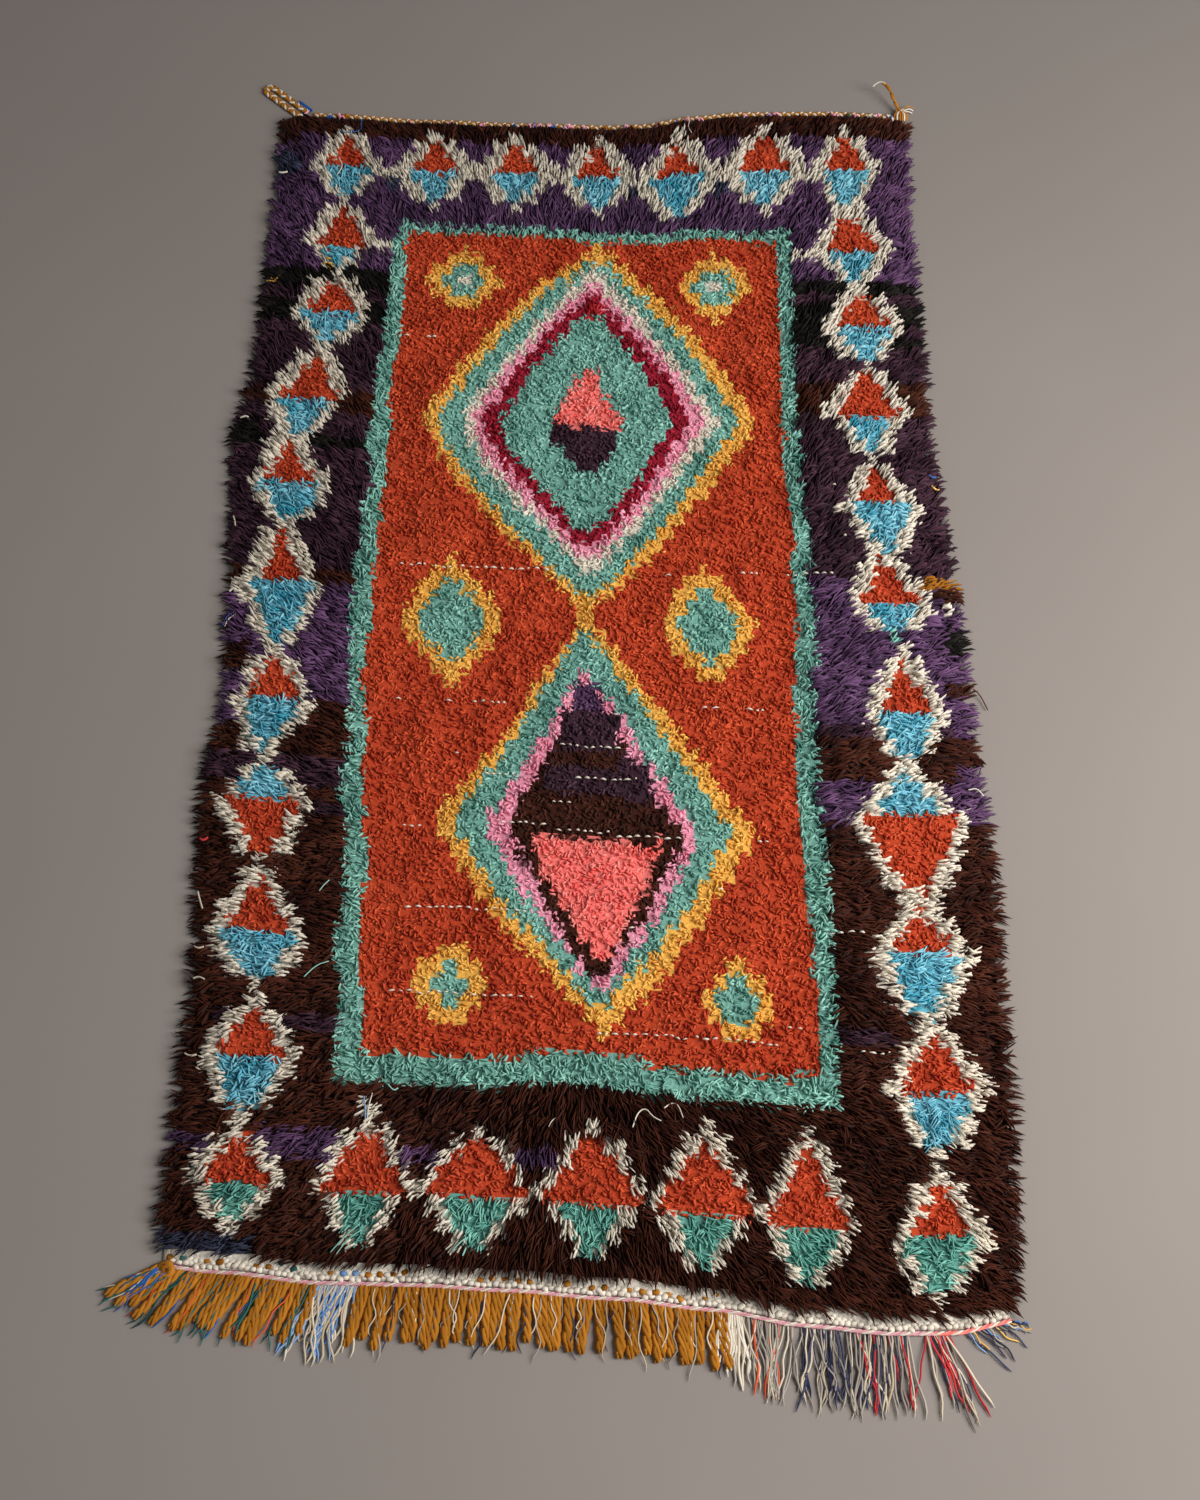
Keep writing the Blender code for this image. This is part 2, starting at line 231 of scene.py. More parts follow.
# Ivory arms between lozenges and to the teal frame. Columns: first knot, last knot, first row, last row
ARMS = (
    (18.0, 23.6, 11.7, 12.8), (101.2, 107.5, 12.8, 13.8), (18.0, 26.0, 4.8, 6.0), (35.0, 42.0, 4.7, 5.9),
    (51.0, 58.0, 5.0, 6.2), (67.0, 74.0, 5.2, 6.4), (83.5, 91.5, 5.2, 6.4), (100.5, 108.0, 5.2, 6.3),
    (36.0, 38.6, 82.0, 83.0), (52.7, 55.2, 82.3, 83.4), (69.4, 71.8, 82.3, 83.4), (86.2, 88.8, 82.3, 83.4),
)

# Teal frame of the field. Columns: row, first knot, last knot of its two sides
LEFT_FRAME = (
    (10.0, 24.0, 27.0), (12.0, 22.5, 25.4), (15.0, 22.7, 26.0), (20.0, 22.6, 25.8), (26.0, 21.8, 24.8),
    (30.0, 23.2, 26.8), (33.0, 23.6, 26.3), (37.0, 21.8, 25.3), (41.0, 20.8, 24.3), (44.0, 19.9, 23.7),
    (49.0, 19.5, 22.2), (53.0, 20.0, 23.4), (58.0, 21.3, 25.1), (62.0, 22.2, 25.5), (68.0, 21.0, 24.7),
    (72.0, 21.8, 25.8), (77.0, 22.0, 25.8),
)
RIGHT_FRAME = (
    (11.5, 98.5, 101.5), (15.0, 98.5, 101.7), (20.0, 97.9, 101.0), (25.0, 98.2, 101.2),
    (31.0, 98.6, 101.6), (36.0, 98.2, 101.4), (40.0, 97.5, 100.7), (45.0, 96.5, 100.3),
    (50.0, 95.5, 99.3), (56.0, 95.4, 99.2), (62.0, 95.4, 99.3), (70.0, 95.8, 99.4), (77.0, 95.9, 99.6),
)
# Columns: knot, first row, last row of its top and its foot
TOP_FRAME = (
    (26.0, 10.1, 11.1), (50.0, 10.1, 11.2), (66.0, 10.3, 11.4), (78.0, 10.9, 12.0), (100.0, 11.3, 12.3),
)
FOOT_FRAME = (
    (22.0, 74.4, 76.6), (40.0, 74.3, 76.7), (60.0, 74.0, 76.2), (79.0, 74.2, 76.6), (99.0, 74.0, 76.3),
)

# Bands of the two medallions, from the outermost in, by their four corners as (knot, row), and how far their
# sides swell above and below the middle: 1 is a straight side
Band = namedtuple("Band", "dye top left right foot swell")
UPPER_MEDALLION = (
    Band("yellow", (63.1, 11.6), (32.0, 27.7), (93.5, 28.7), (60.2, 43.4), (1.15, 1.13)),
    Band("teal", (63.0, 12.8), (34.9, 27.8), (89.8, 28.5), (60.5, 42.6), (1.15, 1.13)),
    Band("ivory", (62.9, 13.5), (38.4, 27.9), (86.8, 28.4), (61.0, 40.6), (1.06, 1.11)),
    Band("pink", (62.6, 15.3), (40.6, 28.0), (84.0, 28.4), (61.0, 39.6), (1.12, 1.13)),
    Band("crimson", (62.5, 16.1), (43.1, 28.0), (81.2, 28.2), (61.3, 38.6), (1.15, 1.13)),
    Band("teal", (62.2, 17.7), (46.2, 28.0), (78.2, 28.2), (61.2, 37.5), (1.15, 1.13)),
)
LOWER_MEDALLION = (
    Band("yellow", (60.3, 44.0), (36.1, 59.3), (87.6, 59.3), (63.4, 73.0), (1.01, 1.12)),
    Band("teal", (60.0, 44.9), (39.2, 59.3), (84.0, 59.3), (62.5, 71.5), (1.01, 1.12)),
    Band("pink", (60.0, 48.0), (44.8, 59.4), (78.7, 59.5), (62.5, 70.5), (1.03, 1.12)),
    Band("brown", (60.0, 49.6), (48.2, 59.5), (76.3, 59.5), (62.0, 69.7), (1.01, 1.12)),
)
# Steps of the forms inside the medallions and of the neck between them. Columns: dye, first row, last row,
# first knot, last knot
INNER_STEPS = (
    ("yellow", 42.6, 44.6, 58.8, 61.6),
    ("coral", 23.0, 24.0, 61.0, 63.6), ("coral", 24.0, 25.0, 59.4, 64.4), ("coral", 25.0, 26.0, 58.2, 65.6),
    ("coral", 26.0, 27.0, 57.0, 67.6), ("coral", 27.0, 28.4, 56.0, 68.8),
    ("aubergine", 28.4, 30.0, 56.4, 68.4), ("aubergine", 30.0, 31.0, 58.6, 66.6),
    ("aubergine", 31.0, 32.3, 61.2, 64.8),
    ("purple", 49.0, 51.0, 58.0, 62.6), ("aubergine", 51.0, 53.8, 55.6, 65.6),
    ("aubergine", 54.8, 57.0, 54.0, 71.5),
    ("coral", 60.0, 61.0, 52.0, 73.1), ("coral", 61.0, 62.0, 52.9, 71.5), ("coral", 62.0, 63.0, 53.2, 70.6),
    ("coral", 63.0, 64.0, 55.0, 69.4), ("coral", 64.0, 65.0, 56.2, 68.0), ("coral", 65.0, 66.0, 57.6, 67.0),
    ("coral", 66.0, 67.0, 59.4, 65.6), ("coral", 67.0, 68.5, 61.0, 64.6),
)

# Small flowers of the field: middle, half width and half height, share of the teal heart, and half the height
# of the ivory core, which is below zero where there is none
Flower = namedtuple("Flower", "knot row half_width half_height heart core")
FLOWERS = (
    Flower(37.3, 15.6, 7.4, 3.0, 0.56, 0.7), Flower(85.8, 16.5, 7.2, 3.1, 0.62, 0.7),
    Flower(37.5, 44.5, 8.9, 4.9, 0.66, -1.0), Flower(81.5, 44.6, 8.3, 4.4, 0.66, -1.0),
    Flower(39.1, 70.2, 6.3, 2.9, 0.46, -1.0), Flower(83.9, 70.3, 5.8, 2.7, 0.62, -1.0),
)
# How far a flower's sides swell, as a band's do, and half the width of an ivory core
FLOWER_SWELL = 1.25
CORE_KNOTS = 1.3

# Dyes of the border's ground down the rug. Columns: row at which the dye starts, dye
GROUND_LEFT_RIM = (
    (0.0, "brown"), (2.7, "purple"), (15.2, "black"), (17.0, "aubergine"), (18.2, "black"),
    (20.2, "aubergine"), (26.0, "brown"), (27.4, "aubergine"), (29.6, "black"), (31.0, "aubergine"),
    (41.6, "brown"), (42.9, "purple"), (47.6, "brown"), (49.4, "purple"), (53.2, "brown"),
    (55.7, "aubergine"), (57.6, "brown"), (80.0, "purple"), (81.5, "brown"), (86.0, "navy"),
)
GROUND_LEFT = (
    (0.0, "brown"), (1.9, "purple"), (15.2, "black"), (16.8, "aubergine"), (18.4, "black"),
    (20.2, "aubergine"), (26.4, "brown"), (28.0, "aubergine"), (29.8, "black"), (31.0, "aubergine"),
    (41.0, "brown"), (42.3, "purple"), (51.8, "brown"), (55.9, "aubergine"), (57.8, "brown"),
    (58.9, "aubergine"), (59.9, "brown"), (72.2, "aubergine"), (73.4, "brown"),
)
GROUND_RIGHT = (
    (0.0, "brown"), (1.8, "purple"), (15.8, "black"), (17.0, "aubergine"), (18.6, "black"),
    (22.0, "aubergine"), (24.7, "brown"), (28.1, "aubergine"), (41.1, "purple"), (51.6, "aubergine"),
    (52.6, "brown"), (56.1, "purple"), (58.2, "brown"),
)
GROUND_RIGHT_RIM = (
    (0.0, "brown"), (2.6, "purple"), (15.8, "black"), (17.5, "aubergine"), (18.1, "black"),
    (19.8, "aubergine"), (21.1, "black"), (22.3, "aubergine"), (24.9, "brown"), (26.6, "aubergine"),
    (27.1, "brown"), (28.4, "aubergine"), (41.3, "brown"), (42.4, "purple"), (44.5, "black"),
    (46.5, "purple"), (48.4, "brown"), (49.4, "purple"), (52.7, "brown"), (55.1, "purple"), (58.9, "brown"),
)
# Width of the ground's rim at the side edges, in knots, and where the ground at the foot is plain brown:
# between these knots and below this row
RIM_KNOTS = 3.0
FOOT_GROUND_KNOTS = (27.0, 97.0)
FOOT_GROUND_ROW = 70.0
# Bars of another dye in the ground. Columns: first knot, last knot, first row, last row, dye
GROUND_BARS = (
    (-3.0, 6.5, 80.0, 81.6, "purple"), (12.0, 23.5, 79.8, 81.6, "purple"), (33.0, 40.5, 80.0, 81.2, "purple"),
    (49.0, 57.5, 80.1, 81.6, "purple"), (-3.0, 12.6, 86.0, 87.0, "navy"), (68.0, 73.0, 6.0, 7.6, "navy"),
    (85.0, 91.0, 6.2, 7.8, "navy"), (-3.0, 4.0, 4.4, 5.8, "navy"), (20.5, 24.5, 5.6, 7.4, "navy"),
    (119.8, 127.0, 41.1, 42.3, "mustard"), (116.5, 121.0, 41.1, 42.3, "purple"),
    (99.0, 107.0, 71.4, 72.7, "aubergine"),
)
# Single knots of a dye that turns up by chance. Columns: knot, row, dye
CHANCE_KNOTS = (
    (11.0, 14.3, "yellow"), (61.9, 17.4, "red"), (62.9, 17.4, "red"), (112.6, 45.4, "green"),
    (113.6, 45.6, "green"), (0.2, 17.0, "yellow"), (122.6, 43.5, "ivory"),
)
# How far a chance knot reaches to each side, in knots and in rows
CHANCE_REACH = 0.6


def lozenge_dye(lozenge, upper_dye, lower_dye, edging, knot, row):
    """Dye that a lozenge gives a knot, or None outside it."""
    top_edging, upper_edging, lower_edging, foot_edging, foot_rows = edging
    if row < lozenge.top:
        dye = None
        core = 0.0
        whole = TIP_HALF if row > lozenge.top - TIP_ROWS else 0.0
    elif row < lozenge.join:
        share = (row - lozenge.top) / (lozenge.join - lozenge.top)
        dye = upper_dye
        core = lozenge.upper_half * (UPPER_SHARES[0] + UPPER_SHARES[1] * share)
        whole = core + mix(top_edging, upper_edging, share)
    elif row < lozenge.foot:
        share = (row - lozenge.join) / (lozenge.foot - lozenge.join)
        dye = lower_dye
        core = lozenge.lower_half * (LOWER_SHARES[0] + LOWER_SHARES[1] * (1.0 - share))
        whole = core + mix(lower_edging, foot_edging, share)
    else:
        dye = None
        core = 0.0
        whole = TIP_HALF if row < lozenge.foot + foot_rows else 0.0
    reach = abs(knot - lozenge.middle)
    if reach <= core:
        return dye
    return "ivory" if reach <= whole else None


def inside_band(band, knot, row):
    """Whether a knot lies inside the four swelling sides of a medallion's band."""
    depth = (row - band.top[1]) / (band.foot[1] - band.top[1])
    if not 0.0 <= depth <= 1.0:
        return False
    middle = mix(band.top[0], band.foot[0], depth)
    corner = band.left if knot < middle else band.right
    end, power = (band.top, band.swell[0]) if row < corner[1] else (band.foot, band.swell[1])
    across = abs(knot - middle) / abs(corner[0] - middle)
    along = (row - corner[1]) / (end[1] - corner[1])
    return across ** power + along ** power <= 1.0


def flower_dye(flower, knot, row):
    """Dye that a small flower gives a knot, or None outside it."""
    across = abs(knot - flower.knot) / flower.half_width
    along = abs(row - flower.row) / flower.half_height
    reach = (across ** FLOWER_SWELL + along ** FLOWER_SWELL) ** (1 / FLOWER_SWELL)
    if abs(knot - flower.knot) <= CORE_KNOTS and abs(row - flower.row) <= flower.core:
        return "ivory"
    if reach <= flower.heart:
        return "teal"
    return "yellow" if reach <= 1.0 else None


def field_dye(knot, row):
    """Dye of a knot inside the teal frame."""
    for dye, first_row, last_row, first, last in INNER_STEPS:
        if first_row <= row < last_row and first <= knot <= last:
            return dye
    for flower in FLOWERS:
        dye = flower_dye(flower, knot, row)
        if dye:
            return dye
    for bands in (UPPER_MEDALLION, LOWER_MEDALLION):
        found = [band.dye for band in bands if inside_band(band, knot, row)]
        if found:
            return found[-1]
    return "rust"


def ground_dye(knot, row):
    """Dye of the border's ground at a knot."""
    for first, last, first_row, last_row, dye in GROUND_BARS:
        if first <= knot <= last and first_row <= row < last_row:
            return dye
    if knot < RIM_KNOTS:
        table = GROUND_LEFT_RIM
    elif knot > KNOTS - RIM_KNOTS:
        table = GROUND_RIGHT_RIM
    elif FOOT_GROUND_KNOTS[0] < knot < FOOT_GROUND_KNOTS[1] and row > FOOT_GROUND_ROW:
        return "brown"
    else:
        table = GROUND_LEFT if knot < KNOTS / 2 else GROUND_RIGHT
    return [dye for start, dye in table if start <= max(row, 0.0)][-1]


def chart(knot, row):
    """Zone and dye of a knot. The zone is field, frame, lozenge or ground."""
    for chance_knot, chance_row, dye in CHANCE_KNOTS:
        if abs(knot - chance_knot) < CHANCE_REACH and abs(row - chance_row) < CHANCE_REACH:
            return "lozenge", dye
    top_first, top_last = span(TOP_FRAME, knot)
    foot_first, foot_last = span(FOOT_FRAME, knot)
    left_first, left_last = span(LEFT_FRAME, row)
    right_first, right_last = span(RIGHT_FRAME, row)
    if left_first <= knot <= right_last and top_first <= row <= foot_last:
        if left_last < knot < right_first and top_last < row < foot_first:
            return "field", field_dye(knot, row)
        return "frame", "teal"
    for lozenges, upper_dye, lower_dye, edging in LOZENGE_SETS:
        for lozenge in lozenges:
            dye = lozenge_dye(lozenge, upper_dye, lower_dye, edging, knot, row)
            if dye:
                return "lozenge", dye
    for first, last, first_row, last_row in ARMS:
        if first <= knot <= last and first_row <= row <= last_row:
            return "lozenge", "ivory"
    return "ground", ground_dye(knot, row)


def pile_height(point, across, along):
    """Height of the pile, lower in the field than in the border, lumpy and rounded down to the rim."""
    from_side = min(across, 1 - across) * RUG_WIDTH
    from_end = min(along, 1 - along) * RUG_LENGTH
    in_field = eased((min(from_side, from_end) - BORDER_WIDTH) / BORDER_FADE)
    height = mix(BORDER_HEIGHT, FIELD_HEIGHT, in_field)
    height += LUMP_HEIGHT * wander(point.x / LUMP_SPACING, point.y / LUMP_SPACING)
    height = mix(RIM_HEIGHT, height, eased(min(from_side, from_end) / RIM_FALL))
    return height - mix(BORDER_COVER, FIELD_COVER, in_field)


def foot_lattice():
    """Corners between the knots on top of the matted foot, as an array of (knot, row, xyz)."""
    lattice = np.zeros((KNOTS + 1, ROWS + 1, 3))
    for knot in range(KNOTS + 1):
        for row in range(ROWS + 1):
            across = knot / KNOTS
            along = 1.0 - row / ROWS * (1.0 - WOVEN_DEPTH / RUG_LENGTH)
            point = cloth_point(across, along)
            height = max(pile_height(point, across, along), LEAST_FOOT)
            lattice[knot, row] = (point.x, point.y, height)
    return lattice


FOOT = foot_lattice()
# Cells of the margin round the lattice of tip heights, and how high a tip is there: next to a side edge,
# farther out, and beyond the upper and the lower end
TIP_MARGIN = 4
NEAR_SIDE = 0.004
FAR_SIDE = 0.001
PAST_UPPER_END = 0.006
PAST_LOWER_END = 0.004


def tip_lattice():
    """Heights of the foot with a margin round them, in which a strand's tip sinks to the floor."""
    heights = np.pad(FOOT[:, :, 2], TIP_MARGIN, mode="edge")
    far = TIP_MARGIN - 1
    heights[:far] = heights[-far:] = FAR_SIDE
    heights[far] = heights[-far - 1] = NEAR_SIDE
    heights[:, :far] = np.minimum(heights[:, :far], PAST_UPPER_END)
    heights[:, -far:] = np.minimum(heights[:, -far:], PAST_LOWER_END)
    return heights


TIP_HEIGHTS = tip_lattice()


def sample(values, knots, rows, margin=0):
    """Value of a lattice between its corners, for arrays of knots and rows."""
    knots = np.clip(knots + margin, 0.0, values.shape[0] - 1.001)
    rows = np.clip(rows + margin, 0.0, values.shape[1] - 1.001)
    left, upper = knots.astype(int), rows.astype(int)
    if values.ndim == 3:
        right_share, lower_share = (knots - left)[:, None], (rows - upper)[:, None]
    else:
        right_share, lower_share = knots - left, rows - upper
    top = values[left, upper] * (1 - right_share) + values[left + 1, upper] * right_share
    foot = values[left, upper + 1] * (1 - right_share) + values[left + 1, upper + 1] * right_share
    return top * (1 - lower_share) + foot * lower_share


def foot_point(knot, row):
    """Point on the matted foot at one knot and row."""
    return sample(FOOT, np.array([float(knot)]), np.array([float(row)]))[0]


# Materials

def linear(hex_colour):
    """Linear colour of an sRGB hex value."""
    channels = (int(hex_colour[k:k + 2], 16) / 255 for k in (1, 3, 5))
    return tuple(c / 12.92 if c <= 0.04045 else ((c + 0.055) / 1.055) ** 2.4 for c in channels) + (1.0,)


def add_node(tree, kind, settings=None, links=None):
    """A node with its settings. Inputs take a value, or the output socket of another node."""
    node = tree.nodes.new(kind)
    for name, value in (settings or {}).items():
        setattr(node, name, value)
    for socket, value in (links or {}).items():
        if isinstance(value, bpy.types.NodeSocket):
            tree.links.new(value, node.inputs[socket])
        else:
            node.inputs[socket].default_value = value
    return node


# Every surface here is dull, and only yarn has the sheen of fibres
DULL_IOR = 1.45
DULL_SPECULAR = 0.08
SHEEN_ROUGHNESS = 0.5


def dull_material(name, roughness, sheen):
    """A new material with a dull surface and the sheen of its fibres, its tree and its shader."""
    material = bpy.data.materials.new(name)
    material.use_nodes = True
    shader = material.node_tree.nodes["Principled BSDF"]
    surface = {
        "Roughness": roughness, "Metallic": 0.0, "IOR": DULL_IOR, "Specular IOR Level": DULL_SPECULAR,
        "Sheen Weight": sheen, "Sheen Roughness": SHEEN_ROUGHNESS,
    }
    for socket, value in surface.items():
        shader.inputs[socket].default_value = value
    return material, material.node_tree, shader


MM = 0.001
YARN_ROUGHNESS = 0.95
YARN_SHEEN = 0.03
# Blotches of uneven dye: their size, the part of the noise that counts, and how far they move the dye
DYE_BLOTCH = 90 * MM
BLOTCH_RANGE = (0.3, 0.7)
BLOTCH_SHARE = 0.22
# Fibres, which are drawn as coarse as they need to be to show
FIBRE_PITCH = 1.6 * MM
FIBRE_DEPTH = 0.6 * MM
FIBRE_BUMP = 0.35
# Painted shade deep in the pile: how light a strand is down at its knot, and the share of its length over
# which it lightens
KNOT_PAINTED_SHADE = 0.85
KNOT_SHARE = 0.5


def pile_yarn(dye_name):
    """Cut wool and rag yarn: uneven dye from strand to strand, painted shade down at the knot, fuzzy fibres.
    """
    dye = DYES[dye_name]
    material, tree, shader = dull_material(f"{dye_name} rag yarn", YARN_ROUGHNESS, YARN_SHEEN)
    place = add_node(tree, "ShaderNodeTexCoord").outputs["Object"]
    strand = add_node(tree, "ShaderNodeAttribute", {"attribute_name": "shade"}).outputs["Fac"]
    tip = add_node(tree, "ShaderNodeAttribute", {"attribute_name": "tip"}).outputs["Fac"]
    blotch = add_node(
        tree, "ShaderNodeTexNoise", {}, {"Vector": place, "Scale": 1 / DYE_BLOTCH, "Detail": 3.0},
    )
    blotch_part = add_node(
        tree, "ShaderNodeMapRange", {},
        {
            "Value": blotch.outputs["Fac"], "From Min": BLOTCH_RANGE[0], "From Max": BLOTCH_RANGE[1],
            "To Min": -BLOTCH_SHARE, "To Max": BLOTCH_SHARE,
        },
    )
    share = add_node(
        tree, "ShaderNodeMath", {"operation": "ADD", "use_clamp": True},
        {0: strand, 1: blotch_part.outputs["Result"]},
    )
    colour = add_node(
        tree, "ShaderNodeMix", {"data_type": "RGBA"},
        {"Factor": share.outputs[0], "A": linear(dye.deep), "B": linear(dye.light)},
    )
    # Painted shade: the strand darkens down towards its knot, deep in the pile
    depth = add_node(
        tree, "ShaderNodeMapRange", {},
        {"Value": tip, "From Max": KNOT_SHARE, "To Min": KNOT_PAINTED_SHADE, "To Max": 1.0},
    )
    shaded = add_node(
        tree, "ShaderNodeMix", {"data_type": "RGBA", "blend_type": "MULTIPLY"},
        {"Factor": 1.0, "A": colour.outputs["Result"], "B": depth.outputs["Result"]},
    )
    fibres = add_node(
        tree, "ShaderNodeTexNoise", {}, {"Vector": place, "Scale": 1 / FIBRE_PITCH, "Detail": 2.0},
    )
    bump = add_node(
        tree, "ShaderNodeBump", {},
        {"Height": fibres.outputs["Fac"], "Strength": FIBRE_BUMP, "Distance": FIBRE_DEPTH},
    )
    tree.links.new(shaded.outputs["Result"], shader.inputs["Base Color"])
    tree.links.new(bump.outputs["Normal"], shader.inputs["Normal"])
    return material


YARNS = {dye: pile_yarn(dye) for dye in DYES}

# Nubs of packed yarn in the matted foot: their size and depth, the part of the noise that counts, and the
# painted shade between them
NUB_PITCH = 5 * MM
NUB_DEPTH = 3 * MM
NUB_BUMP = 0.8
NUB_RANGE = (0.35, 0.65)
NUB_PAINTED_SHADE = 0.75
FOOT_SHEEN = 0.05


def matted_foot():
    """Matted pile foot: the knots' dyes in painted shade between the tufts, with nubs of packed yarn."""
    material, tree, shader = dull_material("matted pile foot", YARN_ROUGHNESS, FOOT_SHEEN)
    place = add_node(tree, "ShaderNodeTexCoord").outputs["Object"]
    # The knots' dyes, held darker than the strands as painted shade between the tufts
    dyed = add_node(tree, "ShaderNodeAttribute", {"attribute_name": "dyed"}).outputs["Color"]
    nubs = add_node(tree, "ShaderNodeTexNoise", {}, {"Vector": place, "Scale": 1 / NUB_PITCH, "Detail": 3.0})
    # Painted shade in the hollows between the nubs
    depth = add_node(
        tree, "ShaderNodeMapRange", {},
        {
            "Value": nubs.outputs["Fac"], "From Min": NUB_RANGE[0], "From Max": NUB_RANGE[1],
            "To Min": NUB_PAINTED_SHADE, "To Max": 1.0,
        },
    )
    shaded = add_node(
        tree, "ShaderNodeMix", {"data_type": "RGBA", "blend_type": "MULTIPLY"},
        {"Factor": 1.0, "A": dyed, "B": depth.outputs["Result"]},
    )
    bump = add_node(
        tree, "ShaderNodeBump", {},
        {"Height": nubs.outputs["Fac"], "Strength": NUB_BUMP, "Distance": NUB_DEPTH},
    )
    tree.links.new(shaded.outputs["Result"], shader.inputs["Base Color"])
    tree.links.new(bump.outputs["Normal"], shader.inputs["Normal"])
    return material


FLOOR_ROUGHNESS = 0.75
CLOUDS_PER_METRE = 1.4


def painted_floor():
    """Plain painted concrete: a pale warm neutral, faintly clouded, nearly matt."""
    material, tree, shader = dull_material("painted concrete", FLOOR_ROUGHNESS, 0.0)
    place = add_node(tree, "ShaderNodeTexCoord").outputs["Object"]
    cloud = add_node(
        tree, "ShaderNodeTexNoise", {}, {"Vector": place, "Scale": CLOUDS_PER_METRE, "Detail": 4.0},
    )
    colour = add_node(
        tree, "ShaderNodeMix", {"data_type": "RGBA"},
        {"Factor": cloud.outputs["Fac"], "A": linear("#8E8680"), "B": linear("#98908A")},
    )
    tree.links.new(colour.outputs["Result"], shader.inputs["Base Color"])
    return material


# Objects, and the strand shapes, one unit long, that the pile is made of

def add_object(name, data):
    """An object with that data, in the scene."""
    piece = bpy.data.objects.new(name, data)
    bpy.context.scene.collection.objects.link(piece)
    return piece


def add_mesh(name, mesh):
    """An object with that bmesh as its mesh, in the scene."""
    data = bpy.data.meshes.new(name)
    mesh.to_mesh(data)
    mesh.free()
    return add_object(name, data)


def strand_shape(name, path, radii, sides):
    """A closed strand that starts and ends in a point. Its rings follow the path and swell to the radii."""
    mesh = bmesh.new()
    tip = mesh.verts.layers.float.new("tip")
    uv = mesh.loops.layers.uv.new("OFBake")
    rings = []
    for number, ((x, y, z), radius) in enumerate(zip(path, radii)):
        if radius == 0.0:
            ring = [mesh.verts.new((x, y, z))]
        else:
            turns = [math.tau * k / sides + math.pi / 2 for k in range(sides)]
            ring = [mesh.verts.new((x, y + radius * math.cos(a), z + radius * math.sin(a))) for a in turns]
        for vertex in ring:
            vertex[tip] = number / (len(path) - 1)
        rings.append(ring)
    steps = len(rings) - 1
    for step, (near, far) in enumerate(zip(rings, rings[1:])):
        low, high = step / steps, (step + 1) / steps
        for side in range(sides):
            after = (side + 1) % sides
            left, right = side / sides, (side + 1) / sides
            middle = (left + right) / 2
            if len(near) == 1:
                corners = ((near[0], middle, low), (far[after], right, high), (far[side], left, high))
            elif len(far) == 1:
                corners = ((near[side], left, low), (near[after], right, low), (far[0], middle, high))
            else:
                corners = (
                    (near[side], left, low), (near[after], right, low),
                    (far[after], right, high), (far[side], left, high),
                )
            face = mesh.faces.new([corner[0] for corner in corners])
            face.smooth = True
            for loop, (_, u, v) in zip(face.loops, corners):
                loop[uv].uv = (u, v)
    bmesh.ops.recalc_face_normals(mesh, faces=mesh.faces[:])
    return add_mesh(name, mesh)


# Places along a strand, its heights and half widths there, and how far it bends to a side
Profile = namedtuple("Profile", "places heights radii bend")
LONG_PROFILE = Profile((0.0, 0.28, 0.72, 1.0), (-0.10, 0.72, 0.95, 0.55), (0.0, 0.5, 0.44, 0.0), 1.6)
SHORT_PROFILE = Profile((0.0, 0.25, 0.80, 0.97), (-0.25, 0.60, 1.0, 0.8), (0.0, 0.5, 0.46, 0.0), 0.9)
PAD_PROFILE = Profile((0.0, 0.18, 0.82, 1.0), (0.0, 0.12, 0.12, 0.0), (0.0, 0.5, 0.5, 0.0), 0.12)
# Share of that bend in each copy of a shape
BENDS = (-1.0, -0.35, 0.35, 1.0)


def shape_collection(name, profile, sides=3):
    """A hidden collection of one strand shape bent to each side."""
    shapes = bpy.data.collections.new(name)
    for number, share in enumerate(BENDS):
        path = [(x, share * profile.bend * x * x, z) for x, z in zip(profile.places, profile.heights)]
        piece = strand_shape(f"{name}_{number}", path, profile.radii, sides)
        bpy.context.scene.collection.objects.unlink(piece)
        shapes.objects.link(piece)
    return shapes


LONG_SHAPES = shape_collection("long_strand", LONG_PROFILE)
SHORT_SHAPES = shape_collection("short_strand", SHORT_PROFILE)
PAD_SHAPES = shape_collection("pad", PAD_PROFILE, sides=5)


def new_tree(name, inputs, output):
    """A Geometry Nodes tree with named inputs of those kinds and one output, and its input node."""
    tree = bpy.data.node_groups.new(name, "GeometryNodeTree")
    tree.is_modifier = True
    for socket, kind in inputs.items():
        tree.interface.new_socket(socket, in_out="INPUT", socket_type=f"NodeSocket{kind}")
    tree.interface.new_socket(output, in_out="OUTPUT", socket_type="NodeSocketGeometry")
    return tree, add_node(tree, "NodeGroupInput")


